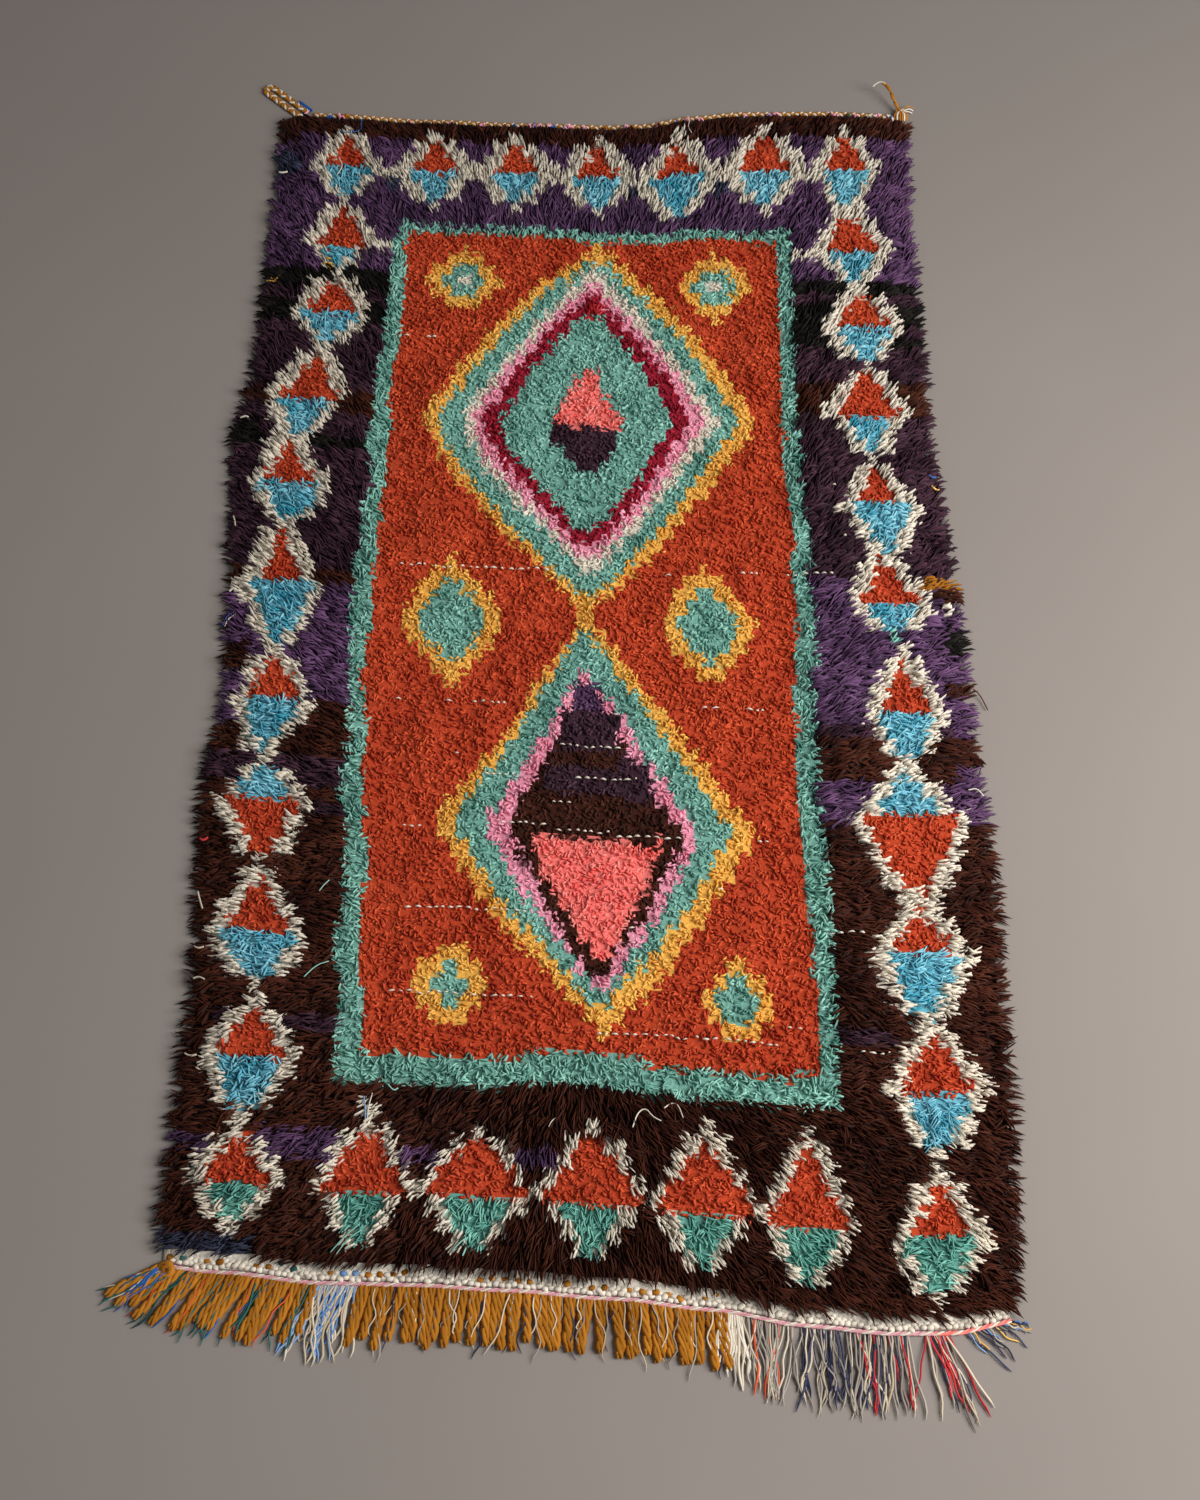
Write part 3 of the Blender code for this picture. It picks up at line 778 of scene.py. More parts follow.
def pile_tree():
    """Geometry Nodes that set a strand on every root and give each strand its own cell of the bake map."""
    inputs = {"Roots": "Geometry", "Strand shapes": "Collection", "Cells across": "Int", "Yarn": "Material"}
    tree, given = new_tree("pile strands", inputs, "Pile")
    stored = {}
    for name in ("turn", "size", "kind", "cell", "OFBake"):
        data_type = "INT" if name == "kind" else "FLOAT_VECTOR"
        node = add_node(tree, "GeometryNodeInputNamedAttribute", {"data_type": data_type}, {"Name": name})
        stored[name] = node.outputs["Attribute"]
    shapes = add_node(
        tree, "GeometryNodeCollectionInfo", {},
        {"Collection": given.outputs["Strand shapes"], "Separate Children": True, "Reset Children": True},
    )
    turn = add_node(tree, "FunctionNodeEulerToRotation", {}, {"Euler": stored["turn"]})
    strands = add_node(
        tree, "GeometryNodeInstanceOnPoints", {},
        {
            "Points": given.outputs["Roots"], "Instance": shapes.outputs["Instances"], "Pick Instance": True,
            "Instance Index": stored["kind"], "Rotation": turn.outputs["Rotation"], "Scale": stored["size"],
        },
    )
    real = add_node(tree, "GeometryNodeRealizeInstances", {}, {"Geometry": strands.outputs["Instances"]})
    in_cell = add_node(
        tree, "ShaderNodeVectorMath", {"operation": "ADD"}, {0: stored["OFBake"], 1: stored["cell"]},
    )
    placed = add_node(
        tree, "ShaderNodeVectorMath", {"operation": "DIVIDE"},
        {0: in_cell.outputs["Vector"], 1: given.outputs["Cells across"]},
    )
    mapped = add_node(
        tree, "GeometryNodeStoreNamedAttribute", {"data_type": "FLOAT2", "domain": "CORNER"},
        {"Geometry": real.outputs["Geometry"], "Name": "OFBake", "Value": placed.outputs["Vector"]},
    )
    dyed = add_node(
        tree, "GeometryNodeSetMaterial", {},
        {"Geometry": mapped.outputs["Geometry"], "Material": given.outputs["Yarn"]},
    )
    add_node(tree, "NodeGroupOutput", {}, {"Pile": dyed.outputs["Geometry"]})
    return tree


PILE_TREE = pile_tree()
# Values that only the trees and the bake map use
SCRATCH_VALUES = ("turn", "size", "cell", "kind", "thick", "along", "number", "around")


def grown(name, data, tree, values):
    """A plain mesh object of what a tree makes of some mesh data. The values go to its named inputs."""
    piece = add_object(f"{name}_roots", data)
    modifier = piece.modifiers.new(tree.name, "NODES")
    modifier.node_group = tree
    for item in tree.interface.items_tree:
        if item.in_out == "INPUT" and item.name in values:
            modifier[item.identifier] = values[item.name]
    depsgraph = bpy.context.evaluated_depsgraph_get()
    plain = bpy.data.meshes.new_from_object(piece.evaluated_get(depsgraph), depsgraph=depsgraph)
    plain.name = name
    bpy.data.objects.remove(piece, do_unlink=True)
    return add_object(name, plain)


def finish_piece(piece, node=None):
    """Brings what is below the floor up, drops scratch values, gives a piece its body and hides its solid."""
    places = np.zeros(3 * len(piece.data.vertices))
    piece.data.vertices.foreach_get("co", places)
    places[2::3] = np.maximum(places[2::3], LEAST_HEIGHT)
    piece.data.vertices.foreach_set("co", places)
    piece.data.update()
    for value in SCRATCH_VALUES:
        if value in piece.data.attributes:
            piece.data.attributes.remove(piece.data.attributes[value])
    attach(piece, "root")
    if node:
        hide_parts(node)
    return piece


def set_strands(name, shapes, roots, turns, sizes, shades, material):
    """One piece of pile: a strand on every root, with its turn, its size and its shade."""
    count = len(roots)
    cells = math.ceil(math.sqrt(count))
    data = bpy.data.meshes.new(f"{name}_roots")
    data.from_pydata(roots.tolist(), [], [])
    numbers = np.arange(count)
    columns = {
        "turn": ("FLOAT_VECTOR", "vector", turns),
        "size": ("FLOAT_VECTOR", "vector", sizes),
        "cell": ("FLOAT_VECTOR", "vector", np.stack([numbers % cells, numbers // cells, 0 * numbers], 1)),
        "shade": ("FLOAT", "value", shades),
        "kind": ("INT", "value", RANDOM.integers(0, len(BENDS), count)),
    }
    for attribute, (data_type, field, values) in columns.items():
        layer = data.attributes.new(attribute, data_type, "POINT")
        layer.data.foreach_set(field, np.ascontiguousarray(values).ravel())
    piece = grown(name, data, PILE_TREE, {"Strand shapes": shapes, "Cells across": cells, "Yarn": material})
    return finish_piece(piece)


def yarn_tree():
    """Geometry Nodes that sweep a round section along every path, as thick as the path says."""
    tree, given = new_tree(
        "yarn along paths", {"Paths": "Geometry", "Sides": "Int", "Yarn": "Material"}, "Yarns",
    )
    curves = add_node(tree, "GeometryNodeMeshToCurve", {}, {"Mesh": given.outputs["Paths"]})
    ring = add_node(
        tree, "GeometryNodeCurvePrimitiveCircle", {}, {"Resolution": given.outputs["Sides"], "Radius": 1.0},
    )
    place = add_node(
        tree, "ShaderNodeMath", {"operation": "DIVIDE"},
        {0: add_node(tree, "GeometryNodeInputIndex").outputs["Index"], 1: given.outputs["Sides"]},
    )
    section = add_node(
        tree, "GeometryNodeStoreNamedAttribute", {"data_type": "FLOAT", "domain": "POINT"},
        {"Geometry": ring.outputs["Curve"], "Name": "around", "Value": place.outputs[0]},
    )
    thick = add_node(tree, "GeometryNodeInputNamedAttribute", {"data_type": "FLOAT"}, {"Name": "thick"})
    swept = add_node(
        tree, "GeometryNodeCurveToMesh", {},
        {
            "Curve": curves.outputs["Curve"], "Profile Curve": section.outputs["Geometry"],
            "Scale": thick.outputs["Attribute"], "Fill Caps": True,
        },
    )
    real = add_node(tree, "GeometryNodeRealizeInstances", {}, {"Geometry": swept.outputs["Mesh"]})
    dyed = add_node(
        tree, "GeometryNodeSetMaterial", {},
        {"Geometry": real.outputs["Geometry"], "Material": given.outputs["Yarn"]},
    )
    add_node(tree, "NodeGroupOutput", {}, {"Yarns": dyed.outputs["Geometry"]})
    return tree


YARN_TREE = yarn_tree()
# A yarn: its dye, the points of its path, half its thickness at each of them, and its shade from 0 to 1
Yarn = namedtuple("Yarn", "dye points radii shade")
# Where the caps and the body of a yarn lie in its cell of the bake map, and how near together along a yarn
# the corners of a cap are
CAP_PLACE = 0.03
CAP_RADIUS = 0.025
BODY_PLACE = 0.06
CAP_REACH = 1e-6


def map_yarns(piece, count):
    """Bake map with a cell for each yarn: round the yarn goes across its cell, along the yarn goes up it."""
    mesh = bmesh.new()
    mesh.from_mesh(piece.data)
    bmesh.ops.recalc_face_normals(mesh, faces=mesh.faces[:])
    around, along, number = (mesh.verts.layers.float[name] for name in ("around", "along", "number"))
    uv = mesh.loops.layers.uv.new("OFBake")
    cells = math.ceil(math.sqrt(count))
    for face in mesh.faces:
        face.smooth = True
        turns = [vertex[around] for vertex in face.verts]
        reaches = [vertex[along] for vertex in face.verts]
        if max(reaches) - min(reaches) < CAP_REACH:
            middle = CAP_PLACE if reaches[0] < 0.5 else 1.0 - CAP_PLACE
            spots = [
                (0.5 + CAP_RADIUS * math.cos(math.tau * t), middle + CAP_RADIUS * math.sin(math.tau * t))
                for t in turns
            ]
        else:
            if max(turns) - min(turns) > 0.5:
                turns = [turn or 1.0 for turn in turns]
            spots = [(turn, mix(BODY_PLACE, 1.0 - BODY_PLACE, reach)) for turn, reach in zip(turns, reaches)]
        cell = round(face.verts[0][number])
        for loop, (u, v) in zip(face.loops, spots):
            loop[uv].uv = ((cell % cells + u) / cells, (cell // cells + v) / cells)
    mesh.to_mesh(piece.data)
    mesh.free()


def sweep_yarns(name, yarns, sides, node):
    """One piece for yarns of one dye, each swept along its path."""
    points, edges = [], []
    columns = {"thick": [], "along": [], "number": [], "shade": [], "tip": []}
    for number, yarn in enumerate(yarns):
        first = len(points)
        steps = len(yarn.points) - 1
        points += [tuple(point) for point in yarn.points]
        edges += [(first + k, first + k + 1) for k in range(steps)]
        columns["thick"] += list(yarn.radii)
        columns["along"] += [k / steps for k in range(steps + 1)]
        for column, value in (("number", number), ("shade", yarn.shade), ("tip", 1.0)):
            columns[column] += [value] * (steps + 1)
    data = bpy.data.meshes.new(f"{name}_paths")
    data.from_pydata(points, edges, [])
    for attribute, values in columns.items():
        data.attributes.new(attribute, "FLOAT", "POINT").data.foreach_set("value", values)
    piece = grown(name, data, YARN_TREE, {"Sides": sides, "Yarn": YARNS[yarns[0].dye]})
    map_yarns(piece, len(yarns))
    return finish_piece(piece, node)


def lay_yarns(name, yarns, node=None, sides=4):
    """Pieces for some yarns, one for each dye."""
    pieces = []
    for dye in sorted({yarn.dye for yarn in yarns}):
        same_dye = [yarn for yarn in yarns if yarn.dye == dye]
        pieces.append(sweep_yarns(f"{name}_{dye}", same_dye, sides, node))
    return pieces


# How each kind of tuft is made: strands in a knot, their length, width and rise in millimetres, how far they
# follow the lie of the pile, how far tufts and strands turn from it in degrees, and the strand shape
Tuft = namedtuple("Tuft", "strands length width rise follow tuft_turn strand_turn shapes")
TUFTS = {
    "shag": Tuft(7, 34, 3.4, 8.0, 1.0, 16, 9, LONG_SHAPES),
    "ivory": Tuft(7, 18, 4.6, 8.4, 1.0, 11, 7, SHORT_SHAPES),
    "strip": Tuft(7, 20, 3.4, 6.5, 0.8, 28, 14, SHORT_SHAPES),
    "chip": Tuft(6, 10, 4.8, 5.0, 0.0, 180, 60, SHORT_SHAPES),
    "frame": Tuft(6, 15, 4.2, 6.0, 0.75, 40, 25, SHORT_SHAPES),
}
# How a strand's length, rise, width and shade vary: the middle, the spread from tuft to tuft and from strand
# to strand, the least and the most
Spread = namedtuple("Spread", "middle of_tufts of_strands least most")
LENGTH_SPREAD = Spread(1.0, 0.10, 0.12, 0.6, 1.4)
RISE_SPREAD = Spread(1.0, 0.25, 0.20, 0.35, 1.6)
WIDTH_SPREAD = Spread(1.0, 0.0, 0.18, 0.6, 1.5)
SHADE_SPREAD = Spread(0.5, 0.17, 0.16, 0.0, 1.0)
# Scatter of a tuft's strands round their place, in knots and rows
KNOT_SCATTER = 0.12
ROW_SCATTER = 0.5
# How far inside the edges the roots keep: the side edges, in knots, and the upper and lower end, in rows
SIDE_MARGIN = 0.2
UPPER_ROOTS = 0.15
LOWER_ROOTS = 0.1
# No tip reaches nearer than this to the upper end, in rows, so that the braid there shows
UPPER_MARGIN = 0.25
# How deep a strand's root and tip sink in the matted foot
ROOT_SINK = 1.5 * MM
TIP_SINK = 1.0 * MM
# Where the pile's lie spreads from, and how far it reaches to the sides and the ends
LIE_MIDDLE = -0.45
LIE_ACROSS = 0.58
LIE_ALONG = 1.2
# Lines of knots at the frame's top and foot
FRAME_LINES = (10, 76)
# How high the pile stands over its foot, and the share of its height at which the camera sees the border
# between two dyes
PILE_OVER_FOOT = 0.005
SEEN_SHARE = 0.55
# The border between two dyes drifts: how far, in knots, over how many rows and knots, and its seed
DRIFT = 0.5
DRIFT_ROWS = 2.3
DRIFT_KNOTS = 9.0
DRIFT_SEED = 4.0
# Right of this knot the last tufts hang over the woven end from this row, in clumps some knots wide
WORN_KNOT = 84
WORN_ROW = ROWS - 0.05
WORN_KNOTS = 4.0
WORN_SEED = 31.0
WORN_LEVEL = -0.25
# Kinds and dyes of pile that are made as an upper and a lower piece, and the row that parts the two
SPLIT_PILE = (("chip", "rust"), ("shag", "brown"))
SPLIT_ROW = 50


def tuft_kind(zone, dye):
    """Kind of tuft that a dye has in a zone."""
    if zone == "field":
        return "chip"
    if zone == "frame":
        return "frame"
    if zone == "ground":
        return "shag"
    return {"ivory": "ivory", "rust": "chip"}.get(dye, "strip")


def row_line(knot, line):
    """Row of the chart at which a line of knots runs. The lines follow the frame's top and foot."""
    frame_top, frame_foot = read(TOP_FRAME, knot, 1), read(FOOT_FRAME, knot, 2)
    if line < FRAME_LINES[0]:
        return frame_top * line / FRAME_LINES[0]
    if line < FRAME_LINES[1]:
        return mix(frame_top, frame_foot, (line - FRAME_LINES[0]) / (FRAME_LINES[1] - FRAME_LINES[0]))
    return mix(frame_foot, ROWS, (line - FRAME_LINES[1]) / (ROWS - FRAME_LINES[1]))


def nearest_line(knot, row):
    """Row of the chart at which the line of knots next to a row runs."""
    frame_top, frame_foot = read(TOP_FRAME, knot, 1), read(FOOT_FRAME, knot, 2)
    if row < frame_top:
        line = row / frame_top * FRAME_LINES[0]
    elif row < frame_foot:
        line = mix(*FRAME_LINES, (row - frame_top) / (frame_foot - frame_top))
    else:
        line = mix(FRAME_LINES[1], ROWS, (row - frame_foot) / (ROWS - frame_foot))
    return row_line(knot, math.floor(line) + 0.5)


def lean(knot, row):
    """How far the pile stands from its foot on the chart, in knots and rows. The chart is counted on the
    floor behind the pile as the camera sees it."""
    x, y, z = foot_point(knot, row)
    height = SEEN_SHARE * (z + PILE_OVER_FOOT)
    share = height / (CAMERA_PLACE[2] - height)
    return share * (x - CAMERA_PLACE[0]) / KNOT_PITCH, -share * (y - CAMERA_PLACE[1]) / ROW_PITCH


def chart_knots():
    """Every knot as (knot, row, zone, dye), with a few beyond the side edges that hang over them."""
    found = []
    for column in range(-1, KNOTS + 1):
        for line in range(ROWS):
            knot = column + 0.5
            row = row_line(knot, line + 0.5)
            across, along = lean(min(max(knot, 0.0), KNOTS), row)
            drift = DRIFT * wander(row / DRIFT_ROWS, knot / DRIFT_KNOTS, DRIFT_SEED)
            found.append((knot, row - along, *chart(knot + across + drift, row)))
    for column in range(WORN_KNOT, KNOTS):
        if wander(column / WORN_KNOTS, WORN_SEED) > WORN_LEVEL:
            found.append((column + 0.5, WORN_ROW, "ground", "brown"))
    return found


def varied(spread, of_tufts):
    """A value for each strand that varies as the spread says, from a draw for each strand's tuft."""
    of_strands = RANDOM.normal(0.0, 1.0, len(of_tufts))
    values = spread.middle + spread.of_tufts * of_tufts + spread.of_strands * of_strands
    return np.clip(values, spread.least, spread.most)


def pile_strands(knots, kind):
    """Arrays of roots, turns, sizes and shades for the tufts of some knots."""
    tuft = TUFTS[kind]
    count = len(knots)
    per_tuft = np.repeat(RANDOM.normal(0.0, 1.0, (count, 4)), tuft.strands, axis=0)
    knots = np.repeat(np.array(knots, float), tuft.strands, axis=0)
    total = len(knots)
    slots = np.tile((np.arange(tuft.strands) + 0.5) / tuft.strands - 0.5, count)
    middle_knot = knots[:, 0] + slots + RANDOM.uniform(-KNOT_SCATTER, KNOT_SCATTER, total)
    middle_row = knots[:, 1] + RANDOM.uniform(-ROW_SCATTER, ROW_SCATTER, total)
    points = sample(FOOT, middle_knot, middle_row)
    lie = np.arctan2((points[:, 1] - LIE_MIDDLE) / LIE_ALONG, points[:, 0] / LIE_ACROSS)
    lie = lie + np.radians(tuft.tuft_turn) * per_tuft[:, 0]
    loose = RANDOM.uniform(-math.pi, math.pi, total)
    heading = np.where(RANDOM.uniform(0, 1, total) < tuft.follow, lie, loose)
    heading = heading + np.radians(tuft.strand_turn) * RANDOM.normal(0.0, 1.0, total)
    length = tuft.length * MM * varied(LENGTH_SPREAD, per_tuft[:, 1])
    ahead = np.stack([np.cos(heading), np.sin(heading)], axis=1)
    half = ahead * (length / 2)[:, None]
    root_knot = np.clip(middle_knot - half[:, 0] / KNOT_PITCH, SIDE_MARGIN, KNOTS - SIDE_MARGIN)
    root_row = np.clip(middle_row + half[:, 1] / ROW_PITCH, UPPER_ROOTS, ROWS - LOWER_ROOTS)
    root_row = np.maximum(root_row, 2 * half[:, 1] / ROW_PITCH + UPPER_MARGIN)
    tip_knot = root_knot + 2 * half[:, 0] / KNOT_PITCH
    tip_row = root_row - 2 * half[:, 1] / ROW_PITCH
    roots = sample(FOOT, root_knot, root_row)
    tip_height = sample(TIP_HEIGHTS, tip_knot, tip_row, margin=TIP_MARGIN)
    rise = tuft.rise * MM * varied(RISE_SPREAD, per_tuft[:, 2])
    roots[:, 2] -= ROOT_SINK
    pitch = -np.arctan2(tip_height - roots[:, 2] - TIP_SINK, length)
    width = tuft.width * MM * varied(WIDTH_SPREAD, per_tuft[:, 2])
    turns = np.stack([np.zeros(total), pitch, heading], axis=1)
    sizes = np.stack([length, width, rise], axis=1)
    return roots, turns, sizes, varied(SHADE_SPREAD, per_tuft[:, 3])


def make_pile():
    """All the pile, one piece for each dye in each kind of tuft."""
    groups = {}
    for knot, row, zone, dye in chart_knots():
        kind = tuft_kind(zone, dye)
        half = "lower" if row > SPLIT_ROW else "upper"
        part = f"_{half}" if (kind, dye) in SPLIT_PILE else ""
        groups.setdefault((kind, dye, part), []).append((knot, row))
    pieces = []
    for (kind, dye, part), knots in sorted(groups.items()):
        strands = pile_strands(knots, kind)
        pieces.append(set_strands(f"pile_{dye}_{kind}{part}", TUFTS[kind].shapes, *strands, YARNS[dye]))
    return pieces


def end_at(place, along):
    """Plan point on the lower or upper end at a place across the rug."""
    left, right = cloth_point(0.0, along).x, cloth_point(1.0, along).x
    return end_point((place - left) / (right - left), along)


def tapered(radius, steps, start=0.6, stop=0.3):
    """Half thicknesses of a yarn that thins at both its ends."""
    body = [radius] * (steps + 1)
    body[0] = radius * start
    body[-1] = radius * stop
    return body


def rounded(points, rounds=2):
    """The points of a path with its corners cut, so that it runs in a smooth curve."""
    points = [Vector(point) for point in points]
    for _ in range(rounds):
        cut = [points[0]]
        for here, after in zip(points, points[1:]):
            cut += [here.lerp(after, 0.25), here.lerp(after, 0.75)]
        points = cut + [points[-1]]
    return points


# How much a ply swells and thins, how many swells a metre has, and how thin it starts and stops
PLY_SWELL = 0.30
SWELLS = 110
PLY_SEED = 7.0
PLY_START = 0.7
PLY_STOP = 0.35


def twisted(dyes, path, radius, spread, pitch, flat=1.0):
    """Plies of some dyes that twist round each other along a path."""
    travelled = [0.0]
    for here, after in zip(path, path[1:]):
        travelled.append(travelled[-1] + (after - here).length)
    yarns = []
    start = RANDOM.uniform(0, math.tau)
    for number, dye in enumerate(dyes):
        points, radii = [], []
        for step, here in enumerate(path):
            ahead = (path[min(step + 1, len(path) - 1)] - path[max(step - 1, 0)]).normalized()
            aside = ahead.cross(Vector((0.0, 0.0, 1.0))).normalized()
            turn = start + math.tau * (travelled[step] / pitch + number / len(dyes))
            lift = Vector((0.0, 0.0, spread * flat * math.sin(turn)))
            points.append(here + aside * (spread * math.cos(turn)) + lift)
            swell = 1 + PLY_SWELL * wander(here.x * SWELLS, here.y * SWELLS, number * PLY_SEED)
            radii.append(radius * swell)
        radii[0] *= PLY_START
        radii[-1] *= PLY_STOP
        yarns.append(Yarn(dye, points, radii, RANDOM.uniform(0.3, 0.8)))
    return yarns


# Steps in one period of a plait
BRAID_STEPS = 7


def braided(dyes, path_point, length, half_width, half_height, radius, period):
    """Three strands plaited along a path. The path gives a point and a side direction at a distance."""
    steps = math.ceil(length / period * BRAID_STEPS)
    yarns = []
    for number, dye in enumerate(dyes):
        points = []
        for step in range(steps + 1):
            distance = length * step / steps
            point, aside = path_point(distance)
            turn = math.tau * (distance / period + number / len(dyes))
            offset = aside * (half_width * math.sin(turn))
            points.append(point + offset + Vector((0.0, 0.0, half_height * math.sin(2 * turn))))
        yarns.append(Yarn(dye, points, tapered(radius, steps, 0.6, 0.6), RANDOM.uniform(0.4, 0.8)))
    return yarns


# Cord and fringe, with the sizes that the solids have
GAP = 0.0003
CORD_WIDTH = 0.009
CORD_RISE = 0.0034
# Columns: place across the rug, degrees to the left of straight down, length of the strands
FAN = (
    (-0.585, 58.0, 0.085), (-0.500, 37.0, 0.092), (-0.420, 24.0, 0.095), (-0.330, 15.0, 0.088),
    (-0.200, 6.0, 0.082), (0.000, 0.0, 0.074), (0.190, -1.0, 0.078), (0.230, 2.0, 0.104),
    (0.360, 0.0, 0.108), (0.450, -2.0, 0.103), (0.500, -16.0, 0.115), (0.530, -34.0, 0.062),
    (0.560, -60.0, 0.046), (0.595, -68.0, 0.035),
)
# A strand climbs off its root and sinks to the floor: the share of its length at which it starts to sink,
# the share of its height at its root, and how fast it climbs
SINK_START = 0.7
ROOT_SHARE = 0.35
CLIMB = 4


def hanging_path(place, share, turn, sway, steps, rise, fall, wave=0.0, waves=2.0):
    """Path of a fringe strand from the cord down, with its share of the fan's length and its heights."""
    start = end_at(place, 0.0) - Vector((0.0, GAP + CORD_WIDTH * 0.5))
    heading = -math.pi / 2 - math.radians(read(FAN, place, 1) + turn)
    length = read(FAN, place, 2) * share
    phase = RANDOM.uniform(0, math.tau)
    points = []
    here = Vector((start.x, start.y))
    for step in range(steps + 1):
        along = step / steps
        angle = heading + sway * math.sin(math.pi * along)
        ahead = Vector((math.cos(angle), math.sin(angle)))
        if step:
            here = here + ahead * (length / steps)
        aside = Vector((-ahead.y, ahead.x)) * (wave * along * math.sin(math.tau * waves * along + phase))
        height = mix(rise, fall, eased((along - SINK_START) / (1 - SINK_START)))
        height *= eased(ROOT_SHARE + along * CLIMB)
        points.append(Vector((here.x + aside.x, here.y + aside.y, height)))
    return points


# Runs of thick locks. Columns: first place, last place, count, lowest and highest share of the fan's length
LOCK_RUNS = ((-0.588, -0.352, 21, 0.80, 1.00), (-0.300, 0.203, 47, 0.86, 1.02))
LOCK_RADIUS = 0.0040
LOCK_SPREAD = 0.0034
LOCK_FLAT = 0.42
LOCK_PITCH = 0.050
LOCK_STEPS = 11
# Share of a ply's half thickness at which a lock lies, pressed flat by its own weight
LOCK_PRESS = 0.85
LOCK_RISE = LOCK_RADIUS * LOCK_PRESS + LOCK_SPREAD * LOCK_FLAT
# How far locks scatter from even places, in steps between them, and from their heading, in degrees and by a
# bend in radians
LOCK_DRIFT = 0.2
LOCK_TURN = 2.5
LOCK_SWAY = 0.10
# Some pale yarns in these runs are white yarn drawn in painted shade, as a darker yarn of their own
# Runs of thin yarns. Columns: first place, last place, count, dyes, half thickness, height of the body,
# lowest and highest share of the fan's length, how far it waves
THIN_RUNS = (
    (-0.590, -0.360, 30, "pine pine cobalt pine pine rust pine", 0.0012, 0.0065, 0.85, 1.20, 0.005),
    (-0.592, -0.545, 14, "cobalt pine cream cobalt", 0.0010, 0.0080, 0.70, 1.10, 0.005),
    (-0.357, -0.300, 38, "cream sky cream sky cream", 0.0016, 0.0040, 0.80, 1.25, 0.006),
    (-0.295, 0.190, 40, "grey cream grey slate cream", 0.0010, 0.0080, 0.75, 1.22, 0.007),
    (0.190, 0.222, 26, "ivory cream ivory", 0.0017, 0.0045, 0.70, 1.05, 0.003),
    (0.222, 0.290, 26, "cream grey cream grey grey rust grey", 0.0014, 0.0035, 0.80, 1.02, 0.004),
    (0.300, 0.352, 24, "grey slate grey slate cream", 0.0014, 0.0035, 0.85, 1.08, 0.005),
    (0.360, 0.446, 36, "grey slate cream grey slate grey cream red", 0.0014, 0.0035, 0.85, 1.08, 0.004),
    (0.466, 0.500, 16, "red cream grey red slate cream", 0.0014, 0.0035, 0.75, 1.12, 0.003),
    (0.520, 0.597, 20, "slate sky cream yellow slate grey", 0.0010, 0.0030, 0.50, 1.15, 0.003),
)
THIN_STEPS = 10
FLOOR_REST = 0.0012
# How thin yarns vary: heading in degrees, bend in radians, factors for thickness and height, number of waves
THIN_TURN = 5.0
THIN_SWAY = 0.16
THIN_SIZES = (0.8, 1.25)
THIN_RISES = (0.7, 1.15)
THIN_WAVES = (0.8, 2.2)


def lock_yarns():
    """Thick soft locks, each of three plies twisted round each other."""
    yarns = []
    for first, last, count, least, most in LOCK_RUNS:
        for number in range(count):
            place = mix(first, last, (number + 0.5 + RANDOM.uniform(-LOCK_DRIFT, LOCK_DRIFT)) / count)
            share = RANDOM.uniform(least, most)
            sway = RANDOM.normal(0.0, LOCK_SWAY)
            turn = RANDOM.normal(0.0, LOCK_TURN)
            path = hanging_path(place, share, turn, sway, LOCK_STEPS, LOCK_RISE, LOCK_RISE)
            yarns += twisted(("mustard",) * 3, path, LOCK_RADIUS, LOCK_SPREAD, LOCK_PITCH, LOCK_FLAT)
    return yarns


def thin_yarns():
    """Thin yarns beside and over the locks."""
    yarns = []
    for first, last, count, dyes, radius, rise, least, most, wave in THIN_RUNS:
        dyes = dyes.split()
        for number in range(count):
            place = mix(first, last, (number + RANDOM.uniform(0.0, 1.0)) / count)
            share = RANDOM.uniform(least, most)
            sway = RANDOM.normal(0.0, THIN_SWAY)
            size = radius * RANDOM.uniform(*THIN_SIZES)
            height = rise * RANDOM.uniform(*THIN_RISES) + size
            turn = RANDOM.normal(0.0, THIN_TURN)
            waves = RANDOM.uniform(*THIN_WAVES)
            path = hanging_path(
                place, share, turn, sway, THIN_STEPS, height, FLOOR_REST + size, wave, waves,
            )
            shade = RANDOM.uniform(0.1, 1.0)
            yarns.append(Yarn(dyes[number % len(dyes)], path, tapered(size, THIN_STEPS), shade))
    return yarns


CORD_STEP = 0.0045
CORD_PITCH = 0.026
CORD_PLY = 0.0018
CORD_SPREAD = 0.0018
CORD_FLAT = 0.75
CORD_HEIGHT = CORD_RISE + 0.0008
# Columns: first place, last place, dyes of the three plies
CORD_PARTS = (
    (-0.560, 0.482, ("pale_pink", "ivory", "pale_pink")), (0.478, 0.589, ("coral", "coral", "ivory")),
)


def cord_yarns():
    """Cord twined along the lower end: pink with ivory, and its bright end at the right."""
    yarns = []
    for first, last, dyes in CORD_PARTS:
        steps = math.ceil((last - first) / CORD_STEP)
        path = []
        for step in range(steps + 1):
            point = end_at(mix(first, last, step / steps), 0.0) - Vector((0.0, GAP + CORD_WIDTH / 2))
            path.append(Vector((point.x, point.y, CORD_HEIGHT)))
        yarns += twisted(dyes, path, CORD_PLY, CORD_SPREAD, CORD_PITCH, CORD_FLAT)
    return yarns


def turned(x, y, z, angle):
    """A point turned about the upright axis."""
    return Vector((x * math.cos(angle) - y * math.sin(angle), x * math.sin(angle) + y * math.cos(angle), z))


# Rings of a clump from the inside out: how much longer and how far turned each is than the one before, how
# many turns each makes, how flat it is, and how far it rises and falls
CLUMP_MIDDLE = Vector((-0.562, -1.003, 0.0075))
CLUMP_RINGS = 5
CLUMP_RADIUS = 0.0040
CLUMP_GROWTH = 0.0014
CLUMP_TILT = 0.63
CLUMP_TURNS = 1.1
CLUMP_SQUASH = 0.9
CLUMP_LIFT = 0.0028
CLUMP_YARN = 0.0042
# Steps of a yarn that is wound in a clump or a knot
WOUND_STEPS = 12


